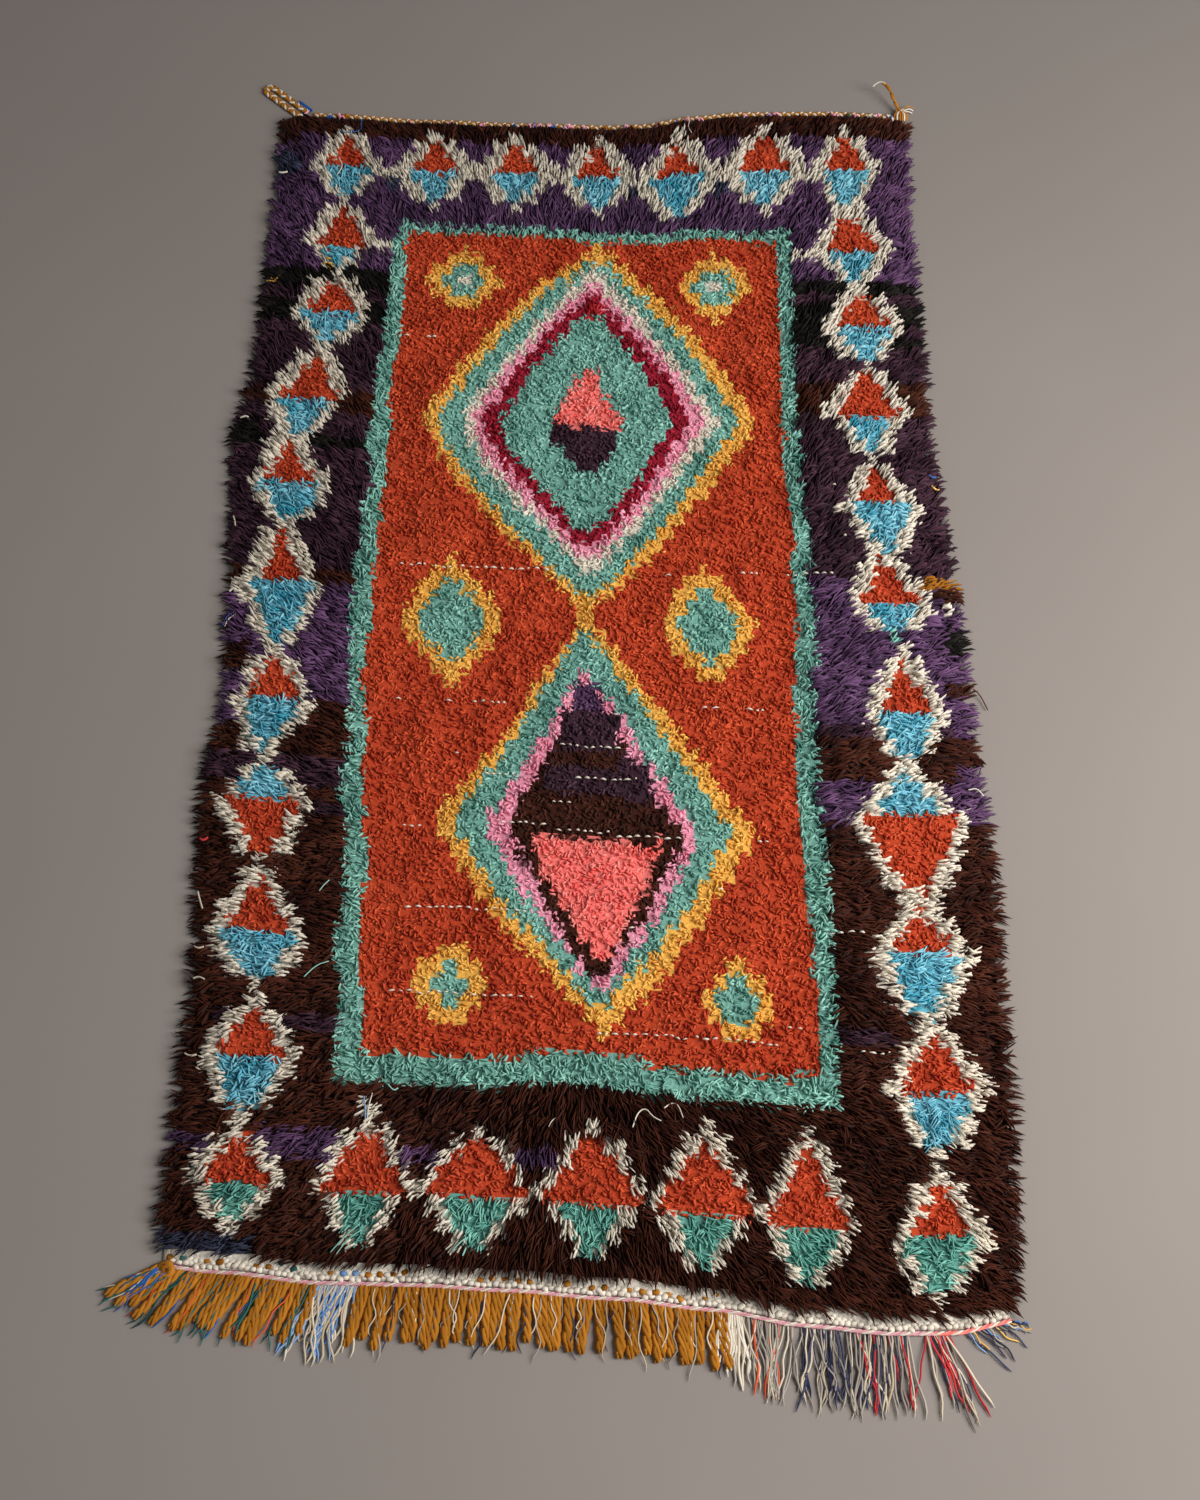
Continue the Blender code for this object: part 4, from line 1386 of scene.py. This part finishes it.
def clump_yarns():
    """Round clump of mustard yarn at the left end of the cord."""
    yarns = []
    for number in range(CLUMP_RINGS):
        radius = CLUMP_RADIUS + CLUMP_GROWTH * number
        points = []
        for step in range(WOUND_STEPS + 1):
            turn = math.tau * step / WOUND_STEPS * CLUMP_TURNS + number
            x, y = radius * math.cos(turn), radius * CLUMP_SQUASH * math.sin(turn)
            z = CLUMP_LIFT * math.sin(turn + number)
            points.append(CLUMP_MIDDLE + turned(x, y, z, number * CLUMP_TILT))
        yarns.append(Yarn("mustard", points, tapered(CLUMP_YARN, WOUND_STEPS), 0.3 + 0.12 * number))
    return yarns


# Woven end between pile and cord: how far its rows lie above the end, its first and last place, and the place
# that its pads are counted from, in metres
WEAVE_ROWS = (0.0030, 0.0086, 0.0142, 0.0198, 0.0254)
WEAVE_SPAN = (-0.562, 0.575)
WEAVE_START = -0.560
WEAVE_PITCH = 0.0085
WEAVE_BACK = 0.0035
WEAVE_HEIGHT = 0.0040
DYED_PAD_RISE = 0.0006
# Bright pads, in every other place of these rows. Columns: first place, last place, dye, share of them
BRIGHT_ROWS = (1, 3)
BRIGHT_PADS = (
    (-0.600, 0.205, "mustard", 0.62), (-0.365, -0.290, "sky", 0.70), (-0.600, -0.360, "pine", 0.30),
)
# Sizes of a pad, and how far it tilts and turns, in radians
PAD_LENGTHS = (0.0092, 0.0122)
PAD_WIDTHS = (0.0066, 0.0090)
PAD_RISES = (0.0036, 0.0056)
PAD_TILT = 0.10
PAD_TURN = 0.30


def weave_pads():
    """Plump crossings of the woven end, as lists of (root, turn, size, shade) for each dye."""
    pads = {}
    count = int(RUG_WIDTH / WEAVE_PITCH)
    for row, reach in enumerate(WEAVE_ROWS):
        for number in range(-1, count):
            place = WEAVE_START + (number + 0.5 + 0.5 * (row % 2)) * WEAVE_PITCH
            if not WEAVE_SPAN[0] < place < WEAVE_SPAN[1]:
                continue
            root = end_at(place, 0.0) + Vector((-WEAVE_BACK, reach))
            bright = (number + row) % 2 == 0 and row in BRIGHT_ROWS
            dye = "ivory"
            for first, last, bright_dye, share in BRIGHT_PADS:
                if bright and first < place < last and RANDOM.uniform() < share:
                    dye = bright_dye
            size = (RANDOM.uniform(*PAD_LENGTHS), RANDOM.uniform(*PAD_WIDTHS), RANDOM.uniform(*PAD_RISES))
            turn = (0.0, RANDOM.normal(0.0, PAD_TILT), RANDOM.normal(0.0, PAD_TURN))
            height = WEAVE_HEIGHT + (0.0 if dye == "ivory" else DYED_PAD_RISE)
            pads.setdefault(dye, []).append(((root.x, root.y, height), turn, size, RANDOM.uniform(0.2, 1.0)))
    return pads


def make_weave():
    """Woven end of the cloth, one piece for each dye."""
    pieces = []
    for dye, pads in sorted(weave_pads().items()):
        columns = [np.array([pad[k] for pad in pads]) for k in range(4)]
        pieces.append(set_strands(f"weave_{dye}", PAD_SHAPES, *columns, YARNS[dye]))
    return pieces


# Braid of the upper end: where it starts and stops across the rug, and its plait
BRAID_START = 0.0432
BRAID_STOP = 0.984
BRAID_WIDTH = 0.0085
BRAID_HEIGHT = 0.0048
BRAID_SWING = 0.0029
BRAID_LIFT = 0.0012
BRAID_PLY = 0.0024
BRAID_PERIOD = 0.0165


def make_head_braid():
    """Three-strand braid sewn along the upper end."""
    first = end_point(BRAID_START, 1.0).x
    last = end_point(BRAID_STOP, 1.0).x

    def path_point(distance):
        point = end_at(min(first + distance, last), 1.0) + Vector((0.0, GAP + BRAID_WIDTH / 2))
        return Vector((point.x, point.y, BRAID_HEIGHT)), Vector((0.0, 1.0, 0.0))

    dyes = ("mustard", "ivory", "mustard")
    yarns = braided(dyes, path_point, last - first, BRAID_SWING, BRAID_LIFT, BRAID_PLY, BRAID_PERIOD)
    return lay_yarns("head_braid", yarns, "head_braid")


# Bits of yarn left in the seam of the braid. Columns: place across the rug, dye, how many
HEAD_BITS = (
    (-0.478, "cobalt", 3), (-0.459, "pink", 3), (-0.452, "mustard", 3), (-0.328, "coral", 1),
    (-0.248, "pink", 1), (-0.189, "pink", 2), (-0.126, "cobalt", 1), (-0.103, "pink", 3),
    (-0.096, "cobalt", 2), (-0.086, "pink", 2), (-0.062, "pink", 2), (-0.052, "cobalt", 2),
    (-0.031, "pink", 3), (-0.023, "pink", 2), (0.003, "pink", 2), (0.042, "mustard", 1),
    (0.080, "pink", 3), (0.134, "pink", 3), (0.172, "cobalt", 1), (0.190, "pink", 2),
    (0.220, "pink", 2), (0.303, "pink", 1), (0.350, "cobalt", 1), (0.358, "pink", 3),
    (0.475, "pink", 3), (0.500, "pine", 1), (0.510, "pink", 2), (0.540, "ivory", 3),
    (0.552, "pink", 2), (0.562, "ivory", 3), (0.572, "cobalt", 1), (0.578, "ivory", 3),
)
# A bit of yarn: scatter of its place, how far back in the pile and how high it starts, reach, arch, half
# thickness
HEAD_BIT_SCATTER = 0.003
HEAD_BIT_BACK = (0.001, 0.008)
HEAD_BIT_ROOT = 0.0095
HEAD_BIT_REACH = (0.004, 0.008)
HEAD_BIT_SQUASH = 0.7
HEAD_BIT_ARCH = Vector((0.0, 0.0, 0.007))
HEAD_BIT_RADIUS = 0.0019


def make_head_bits():
    """Bits of dyed yarn that stand out of the seam between pile and braid."""
    yarns = []
    for place, dye, count in HEAD_BITS:
        for _ in range(count):
            edge = end_at(place + RANDOM.normal(0.0, HEAD_BIT_SCATTER), 1.0)
            start = Vector((edge.x, edge.y - RANDOM.uniform(*HEAD_BIT_BACK), HEAD_BIT_ROOT))
            heading = RANDOM.uniform(-math.pi, math.pi)
            ahead = Vector((math.cos(heading), HEAD_BIT_SQUASH * math.sin(heading), 0.0))
            reach = ahead * RANDOM.uniform(*HEAD_BIT_REACH)
            points = rounded([start, start + reach * 0.5 + HEAD_BIT_ARCH, start + reach])
            radii = tapered(HEAD_BIT_RADIUS, len(points) - 1, 0.7, 0.6)
            yarns.append(Yarn(dye, points, radii, RANDOM.uniform(0.3, 0.9)))
    return lay_yarns("head_bit", yarns)


# Corner loop: the tip of its hairpin, its band and the slit in it, where the plait starts, and the plait
LOOP_TIP = Vector((-0.609, 1.190))
LOOP_BAND = 0.0140
LOOP_SLIT = 0.0030
LOOP_START = 0.004
LOOP_HEIGHT = 0.0038
LOOP_SWING = 0.0044
LOOP_LIFT = 0.0012
LOOP_PLY = 0.0028
LOOP_PERIOD = 0.024
# Yarns at the loop's foot: how far right of its axis they are wrapped, their reach along it, and for each
# yarn its place aside and its height. The pink one crosses them.
WRAP_ASIDE = 0.015
WRAP_REACHES = (0.000, 0.010, 0.020, 0.030, 0.037)
WRAP_YARNS = ((0.0, 0.004), (-0.003, 0.0055), (0.002, 0.007))
WRAP_RADIUS = 0.0022
PINK_AHEAD = 0.002
PINK_REACHES = (0.004, 0.010, 0.016)
PINK_RADII = (0.0012, 0.0022, 0.0012)
PINK_HEIGHT = 0.008


def make_corner_loop():
    """Plaited band bent to a hairpin at the upper left corner, with the yarns wrapped at its foot."""
    base = cloth_point(1 / COLUMNS, 1.0)
    axis = (LOOP_TIP - base).normalized()
    aside = Vector((-axis.y, axis.x))
    radius = (LOOP_SLIT + LOOP_BAND) / 2
    leg = (LOOP_TIP - base).length - LOOP_SLIT / 2 - LOOP_BAND
    bend = math.pi * radius

    def path_point(distance):
        if distance < leg - LOOP_START:
            along, turn = LOOP_START + distance, -math.pi / 2
        elif distance < leg - LOOP_START + bend:
            along, turn = leg, (distance - leg + LOOP_START) / radius - math.pi / 2
        else:
            along, turn = leg - (distance - (leg - LOOP_START) - bend), math.pi / 2
        out = axis * math.cos(turn) + aside * math.sin(turn)
        point = base + axis * along + out * radius
        return Vector((point.x, point.y, LOOP_HEIGHT)), Vector((out.x, out.y, 0.0))

    length = 2 * (leg - LOOP_START) + bend
    dyes = ("ivory", "mustard", "mustard")
    yarns = braided(dyes, path_point, length, LOOP_SWING, LOOP_LIFT, LOOP_PLY, LOOP_PERIOD)
    right = base - aside * WRAP_ASIDE
    wrap = [right + axis * reach for reach in WRAP_REACHES]
    for number, (side, height) in enumerate(WRAP_YARNS):
        points = [Vector((place.x + side, place.y, height)) for place in wrap]
        radii = tapered(WRAP_RADIUS, len(wrap) - 1, 0.8, 0.4)
        yarns.append(Yarn("cobalt", points, radii, 0.35 + 0.2 * number))
    pink = [right + axis * PINK_AHEAD + aside * reach for reach in PINK_REACHES]
    points = [Vector((place.x, place.y, PINK_HEIGHT)) for place in pink]
    yarns.append(Yarn("pink", points, PINK_RADII, 0.6))
    return lay_yarns("corner_loop", yarns, "corner_loop")


# Corner tie: its place across the rug, how far beyond the end and how high its knot is, the warp ends that
# run into it, and the yarns wound round it with how far each is tilted. The routes start from the knot.
TIE_PLACE = 0.597
TIE_AHEAD = 0.0105
TIE_HEIGHT = 0.0075
TIE_WARPS = (
    (-0.012, "mustard"), (-0.007, "ivory"), (-0.002, "mustard"), (0.002, "mustard"), (0.006, "ivory"),
    (0.010, "mustard"),
)
WARP_RADIUS = 0.0020
# Path of a warp end, first from the edge and then to the knot. Columns: share of its place aside, distance
# ahead, height
WARP_FROM_EDGE = ((1.0, -0.008, 0.008), (1.1, 0.001, 0.014))
WARP_TO_KNOT = ((0.7, -0.003, 0.014), (0.2, 0.003, 0.010))
TIE_WINDS = (("mustard", 0.4), ("ivory", 1.3), ("mustard", 2.3), ("mustard", -0.5))
WIND_SIZE = (0.0088, 0.0062, 0.0032)
WIND_RADIUS = 0.0027
# Steps of one turn round the knot, which is less than all the steps so that the yarn overlaps itself
WIND_TURN_STEPS = 11
LONG_PLY = 0.0021
LONG_SPREAD = 0.0014
LONG_PITCH = 0.034
END_RADIUS = 0.0012
LONG_END = (
    (-0.001, 0.002, 0.004), (-0.007, 0.012, 0.007), (-0.013, 0.023, 0.015), (-0.019, 0.034, 0.022),
    (-0.025, 0.044, 0.026), (-0.034, 0.050, 0.027),
)
CURL_END = ((-0.026, 0.045, 0.027), (-0.034, 0.053, 0.029), (-0.044, 0.052, 0.026), (-0.052, 0.046, 0.022))
SHORT_ENDS = (
    ("ivory", (0.002, 0.001, 0.003), (0.010, 0.006, 0.004), (0.019, 0.012, 0.001), (0.026, 0.011, -0.004)),
    ("ivory", (0.003, 0.000, 0.002), (0.010, 0.004, 0.002), (0.018, 0.006, -0.001), (0.024, 0.006, -0.005)),
    ("mustard", (0.002, 0.003, 0.003), (0.008, 0.010, 0.006), (0.017, 0.015, 0.005), (0.026, 0.015, 0.000)),
    ("ivory", (0.000, 0.002, 0.004), (0.006, 0.009, 0.005), (0.012, 0.016, 0.002), (0.017, 0.020, -0.003)),
)


def make_corner_tie():
    """Warp ends knotted at the upper right corner, with one long free end that stands off the floor."""
    edge = end_at(TIE_PLACE, 1.0)
    centre = Vector((TIE_PLACE, edge.y + GAP + TIE_AHEAD, TIE_HEIGHT))
    yarns = []
    for number, (across, dye) in enumerate(TIE_WARPS):
        path = []
        for start, route in ((edge, WARP_FROM_EDGE), (centre, WARP_TO_KNOT)):
            path += [(start.x + across * share, start.y + ahead, height) for share, ahead, height in route]
        points = rounded(path)
        yarns.append(Yarn(dye, points, tapered(WARP_RADIUS, len(points) - 1), 0.2 + 0.13 * number))
    for number, (dye, tilt) in enumerate(TIE_WINDS):
        points = []
        for step in range(WOUND_STEPS + 1):
            turn = math.tau * step / WIND_TURN_STEPS + number
            x, y = WIND_SIZE[0] * math.cos(turn), WIND_SIZE[1] * math.sin(turn)
            points.append(centre + turned(x, y, WIND_SIZE[2] * math.sin(turn + tilt * 2), tilt))
        yarns.append(Yarn(dye, points, tapered(WIND_RADIUS, WOUND_STEPS), 0.25 + 0.18 * number))
    long_path = rounded([centre + Vector(point) for point in LONG_END])
    yarns += twisted(("mustard", "mustard"), long_path, LONG_PLY, LONG_SPREAD, LONG_PITCH)
    curl = rounded([centre + Vector(point) for point in CURL_END])
    yarns.append(Yarn("ivory", curl, tapered(END_RADIUS, len(curl) - 1), 0.9))
    for dye, *route in SHORT_ENDS:
        points = rounded([centre + Vector(point) for point in route])
        yarns.append(Yarn(dye, points, tapered(END_RADIUS, len(points) - 1, 1.0), 0.8))
    return lay_yarns("corner_tie", yarns, "corner_tie")


def make_fringe():
    """Cord, locks and thin yarns of the fringed end."""
    yarns = lock_yarns() + thin_yarns() + cord_yarns() + clump_yarns()
    return lay_yarns("fringe", yarns, "fringe")


# Pale weft that shows between the rows. Columns: row, first knot, last knot
WEFT_BITS = (
    (21.3, 27.0, 28.6), (21.3, 31.0, 33.0), (40.7, 29.0, 33.5), (40.7, 35.0, 38.0), (40.7, 39.5, 47.0),
    (40.7, 48.0, 56.0), (40.9, 75.0, 76.5), (40.9, 88.0, 91.0), (40.9, 96.0, 104.0), (51.0, 28.0, 29.0),
    (51.0, 36.5, 37.5), (51.0, 41.0, 47.0), (51.0, 79.6, 83.0), (51.0, 87.0, 90.0), (53.9, 56.0, 67.0),
    (56.1, 44.0, 49.0), (56.1, 59.0, 69.0), (56.1, 71.6, 72.6), (58.0, 55.5, 59.0), (60.0, 31.5, 34.5),
    (59.5, 47.0, 55.0), (59.8, 56.0, 64.5), (60.1, 65.5, 76.0), (60.0, 88.0, 90.0), (65.5, 32.0, 44.0),
    (65.5, 44.5, 51.0), (66.1, 67.0, 72.0), (65.7, 98.0, 103.6), (71.0, 29.6, 36.0), (71.0, 37.0, 52.0),
    (71.7, 91.0, 94.0), (72.9, 62.0, 76.0), (72.9, 77.0, 89.6), (65.8, 105.0, 109.0), (72.9, 102.0, 106.5),
    (51.8, 105.9, 106.9), (34.0, 106.0, 107.0), (38.0, 106.5, 107.4), (54.8, 39.0, 40.0), (63.5, 81.0, 82.0),
)
# Stray yarns on the pile: dye, half thickness and points as (knot, row)
STRAYS = (
    ("cobalt", 0.0009, ((15.6, 0.3), (15.2, 1.2), (15.6, 1.9), (14.4, 2.4), (11.5, 2.4))),
    ("ivory", 0.0009, ((80.6, -0.8), (81.2, 0.4), (80.6, 1.4), (81.4, 2.3))),
    ("ivory", 0.0011, ((68.0, 78.6), (68.6, 77.7), (69.8, 77.4), (70.9, 77.9), (72.2, 78.1))),
    ("ivory", 0.0011, ((72.5, 77.3), (73.6, 76.9), (74.6, 77.0), (75.4, 77.8))),
    ("ivory", 0.0008, ((55.6, 79.0), (56.0, 78.6), (56.6, 78.4))),
    ("green", 0.0013, ((28.8, 85.0), (27.0, 85.6), (24.8, 86.6))),
    ("green", 0.0013, ((29.2, 85.3), (27.4, 85.8), (25.4, 86.8))),
    ("green", 0.0013, ((44.5, 85.5), (43.6, 85.8), (42.6, 86.3))),
    ("teal", 0.0012, ((20.5, 69.4), (18.6, 69.7), (16.7, 70.6))),
    ("teal", 0.0012, ((20.3, 64.2), (19.4, 64.6), (18.8, 65.0))),
    ("teal", 0.0012, ((31.0, 76.8), (32.0, 77.2), (32.6, 77.0))),
    ("brown", 0.0011, ((125.6, 49.3), (126.8, 49.6), (128.0, 50.7))),
    ("ivory", 0.0010, ((122.5, 56.5), (124.0, 56.4), (125.0, 56.9))),
    ("ivory", 0.0012, ((11.6, 5.2), (12.6, 6.0), (11.5, 6.9))),
    ("sky", 0.0012, ((27.7, 77.6), (28.1, 78.3), (28.3, 79.0))),
    ("ivory", 0.0012, ((28.9, 77.4), (28.5, 78.3), (28.6, 79.0))),
    ("ivory", 0.0020, ((-0.4, 6.0), (0.4, 6.2), (1.4, 6.3))),
    ("ivory", 0.0018, ((-0.6, 29.2), (0.2, 29.1), (1.0, 29.3))),
    ("cream", 0.0018, ((-0.5, 37.4), (0.0, 37.9), (0.2, 38.5))),
    ("ivory", 0.0020, ((-0.7, 43.6), (0.0, 43.4), (0.6, 43.6))),
    ("cobalt", 0.0012, ((0.4, 45.3), (-1.0, 45.5), (-1.6, 46.2))),
    ("ivory", 0.0012, ((0.6, 45.5), (-0.8, 45.8), (-1.2, 46.3))),
    ("red", 0.0020, ((-0.8, 61.8), (-0.2, 62.0), (0.6, 61.8))),
    ("cream", 0.0018, ((-0.6, 65.4), (-0.1, 66.0), (0.4, 66.6))),
    ("cream", 0.0016, ((-0.9, 69.0), (-0.1, 69.2), (0.8, 69.1))),
    ("cream", 0.0016, ((-0.8, 71.1), (0.2, 71.0), (1.2, 71.2))),
    ("cream", 0.0016, ((-0.4, 75.8), (0.6, 76.0), (1.6, 75.9))),
    ("cobalt", 0.0016, ((123.6, 33.0), (124.4, 33.2), (125.0, 33.1))),
    ("yellow", 0.0018, ((123.8, 33.9), (124.6, 34.2), (125.2, 34.1))),
)
# Height of a stray above the matted foot, in the field between these knots and rows and in the border round
# it. Beyond a side edge it falls by this much a metre, down to the least height.
STRAY_RISE = {"field": 0.0085, "border": 0.0130}
FIELD_KNOTS = (24.0, 99.0)
FIELD_ROWS = (11.0, 75.0)
STRAY_FALL = 0.4
STRAY_LEAST = 0.004
# The bits of weft: length and gap in knots, half thickness, heights along a bit, and how far they sway
BIT_LENGTH = (0.45, 1.3)
BIT_GAP = (0.25, 0.9)
BIT_RADIUS = (0.0011, 0.0019)
BIT_HEIGHTS = (-0.0040, -0.0008, -0.0008, -0.0040)
LEAST_BIT = 0.2
BIT_SWAY = 0.18
BIT_SWAY_KNOTS = 2.0
BIT_SEED = 9.0


def on_pile(knot, row):
    """Point on top of the pile at a knot and row."""
    point = foot_point(knot, row)
    beyond = max(knot - KNOTS, -knot, 0.0) * KNOT_PITCH
    inside = FIELD_KNOTS[0] < knot < FIELD_KNOTS[1] and FIELD_ROWS[0] < row < FIELD_ROWS[1]
    side = math.copysign(beyond, knot - KNOTS / 2)
    height = point[2] + STRAY_RISE["field" if inside else "border"] - STRAY_FALL * beyond
    return Vector((point[0] + side, point[1], max(height, STRAY_LEAST)))


def make_strays():
    """Pale weft that shows between the rows, and loose yarns that lie on the pile."""
    yarns = []
    for row, first, last in WEFT_BITS:
        knot = first
        while knot < last - LEAST_BIT:
            length = min(RANDOM.uniform(*BIT_LENGTH), last - knot)
            points = []
            for step, height in enumerate(BIT_HEIGHTS):
                place = knot + length * step / (len(BIT_HEIGHTS) - 1)
                here = on_pile(place, row + BIT_SWAY * wander(place / BIT_SWAY_KNOTS, row, BIT_SEED))
                points.append(here + Vector((0.0, 0.0, height)))
            radii = tapered(RANDOM.uniform(*BIT_RADIUS), len(points) - 1, 0.4, 0.4)
            yarns.append(Yarn("ivory", points, radii, RANDOM.uniform(0.3, 1.0)))
            knot += length + RANDOM.uniform(*BIT_GAP)
    for dye, radius, route in STRAYS:
        points = rounded([on_pile(knot, row) for knot, row in route])
        yarns.append(Yarn(dye, points, tapered(radius, len(points) - 1), 0.9))
    return lay_yarns("stray", yarns, sides=3)


# How light the matted foot is between a dye's deep and light colours, held low as painted shade between the
# tufts
SHADED_FOOT_SHARE = 0.40


def make_foot_sheet():
    """The cloth and the matted foot of its pile, one closed sheet with the knots' dyes in painted shade."""
    mesh = bmesh.new()
    dyed = mesh.loops.layers.float_color.new("dyed")
    tops, floors = {}, {}
    for knot in range(KNOTS + 1):
        for row in range(ROWS + 2):
            if row <= ROWS:
                x, y, z = FOOT[knot, row]
            else:
                point = end_point(knot / KNOTS, 0.0)
                x, y, z = point.x, point.y, WOVEN_FOOT
            tops[knot, row] = mesh.verts.new((x, y, z))
            floors[knot, row] = mesh.verts.new((x, y, 0.0))
    ivory = linear(DYES["ivory"].light)
    colours = {}
    for knot in range(KNOTS):
        for row in range(ROWS + 1):
            if row < ROWS:
                across, along = lean(knot + 0.5, row + 0.5)
                _, dye = chart(knot + 0.5 + across, nearest_line(knot + 0.5, row + 0.5 + along))
                deep, light = linear(DYES[dye].deep), linear(DYES[dye].light)
                # The dye held darker as painted shade between the tufts
                colour = tuple(mix(a, b, SHADED_FOOT_SHARE) for a, b in zip(deep, light))
            else:
                colour = ivory
            colours[knot, row] = colour
            for grid, order in ((tops, 1), (floors, -1)):
                corners = [grid[knot, row + 1], grid[knot + 1, row + 1], grid[knot + 1, row], grid[knot, row]]
                face = mesh.faces.new(corners[::order])
                face.smooth = True
                for loop in face.loops:
                    loop[dyed] = colour
    rim = [(k, 0) for k in range(KNOTS + 1)] + [(KNOTS, r) for r in range(1, ROWS + 2)]
    rim += [(k, ROWS + 1) for k in range(KNOTS - 1, -1, -1)] + [(0, r) for r in range(ROWS, 0, -1)]
    for here, after in zip(rim, rim[1:] + rim[:1]):
        face = mesh.faces.new([tops[here], tops[after], floors[after], floors[here]])
        near = (min(here[0], KNOTS - 1), min(here[1], ROWS))
        for loop in face.loops:
            loop[dyed] = colours[near]
    bmesh.ops.recalc_face_normals(mesh, faces=mesh.faces[:])
    sheet = add_mesh("knotted_cloth", mesh)
    sheet.data.materials.append(matted_foot())
    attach(sheet, "root")
    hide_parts("rug")
    return sheet


# The floor's half width, and the soft light: its lamp's place, aim, size and power, and the light of the room
FLOOR_HALF = 9.0
LAMP_PLACE = Vector((2.6, -0.9, 2.5))
LAMP_AIM = Vector((0.1, -0.3, 0.0))
LAMP_SIZE = (2.6, 1.5)
LAMP_POWER = 165.0
LAMP_COLOUR = (1.0, 0.975, 0.95)
ROOM_COLOUR = "#D9DADD"
ROOM_LIGHT = 0.30


def make_stage():
    """Floor, soft light from the right, and the camera."""
    mesh = bmesh.new()
    bmesh.ops.create_grid(mesh, x_segments=1, y_segments=1, size=FLOOR_HALF)
    floor = add_mesh("floor", mesh)
    floor.data.materials.append(painted_floor())
    key = bpy.data.lights.new("key", "AREA")
    key.shape = "RECTANGLE"
    key.size, key.size_y = LAMP_SIZE
    key.energy = LAMP_POWER
    key.color = LAMP_COLOUR
    lamp = add_object("key", key)
    lamp.location = LAMP_PLACE
    lamp.rotation_euler = (LAMP_AIM - LAMP_PLACE).to_track_quat("-Z", "Z").to_euler()
    world = bpy.data.worlds.new("soft room")
    world.use_nodes = True
    background = world.node_tree.nodes["Background"]
    background.inputs["Color"].default_value = linear(ROOM_COLOUR)
    background.inputs["Strength"].default_value = ROOM_LIGHT
    bpy.context.scene.world = world
    camera = bpy.data.cameras.new("camera")
    camera.sensor_fit = "VERTICAL"
    camera.sensor_height = SENSOR_HEIGHT
    camera.lens = LENS
    view = add_object("camera", camera)
    view.location = CAMERA_PLACE
    view.rotation_euler = (CAMERA_TILT, 0.0, 0.0)
    bpy.context.scene.camera = view
    bpy.context.scene.view_settings.view_transform = "Standard"
    return floor


floor = make_stage()
sheet = make_foot_sheet()
pile = make_pile()
yarn_pieces = make_weave() + make_fringe() + make_head_braid() + make_corner_loop() + make_corner_tie()
yarn_pieces += make_head_bits() + make_strays()
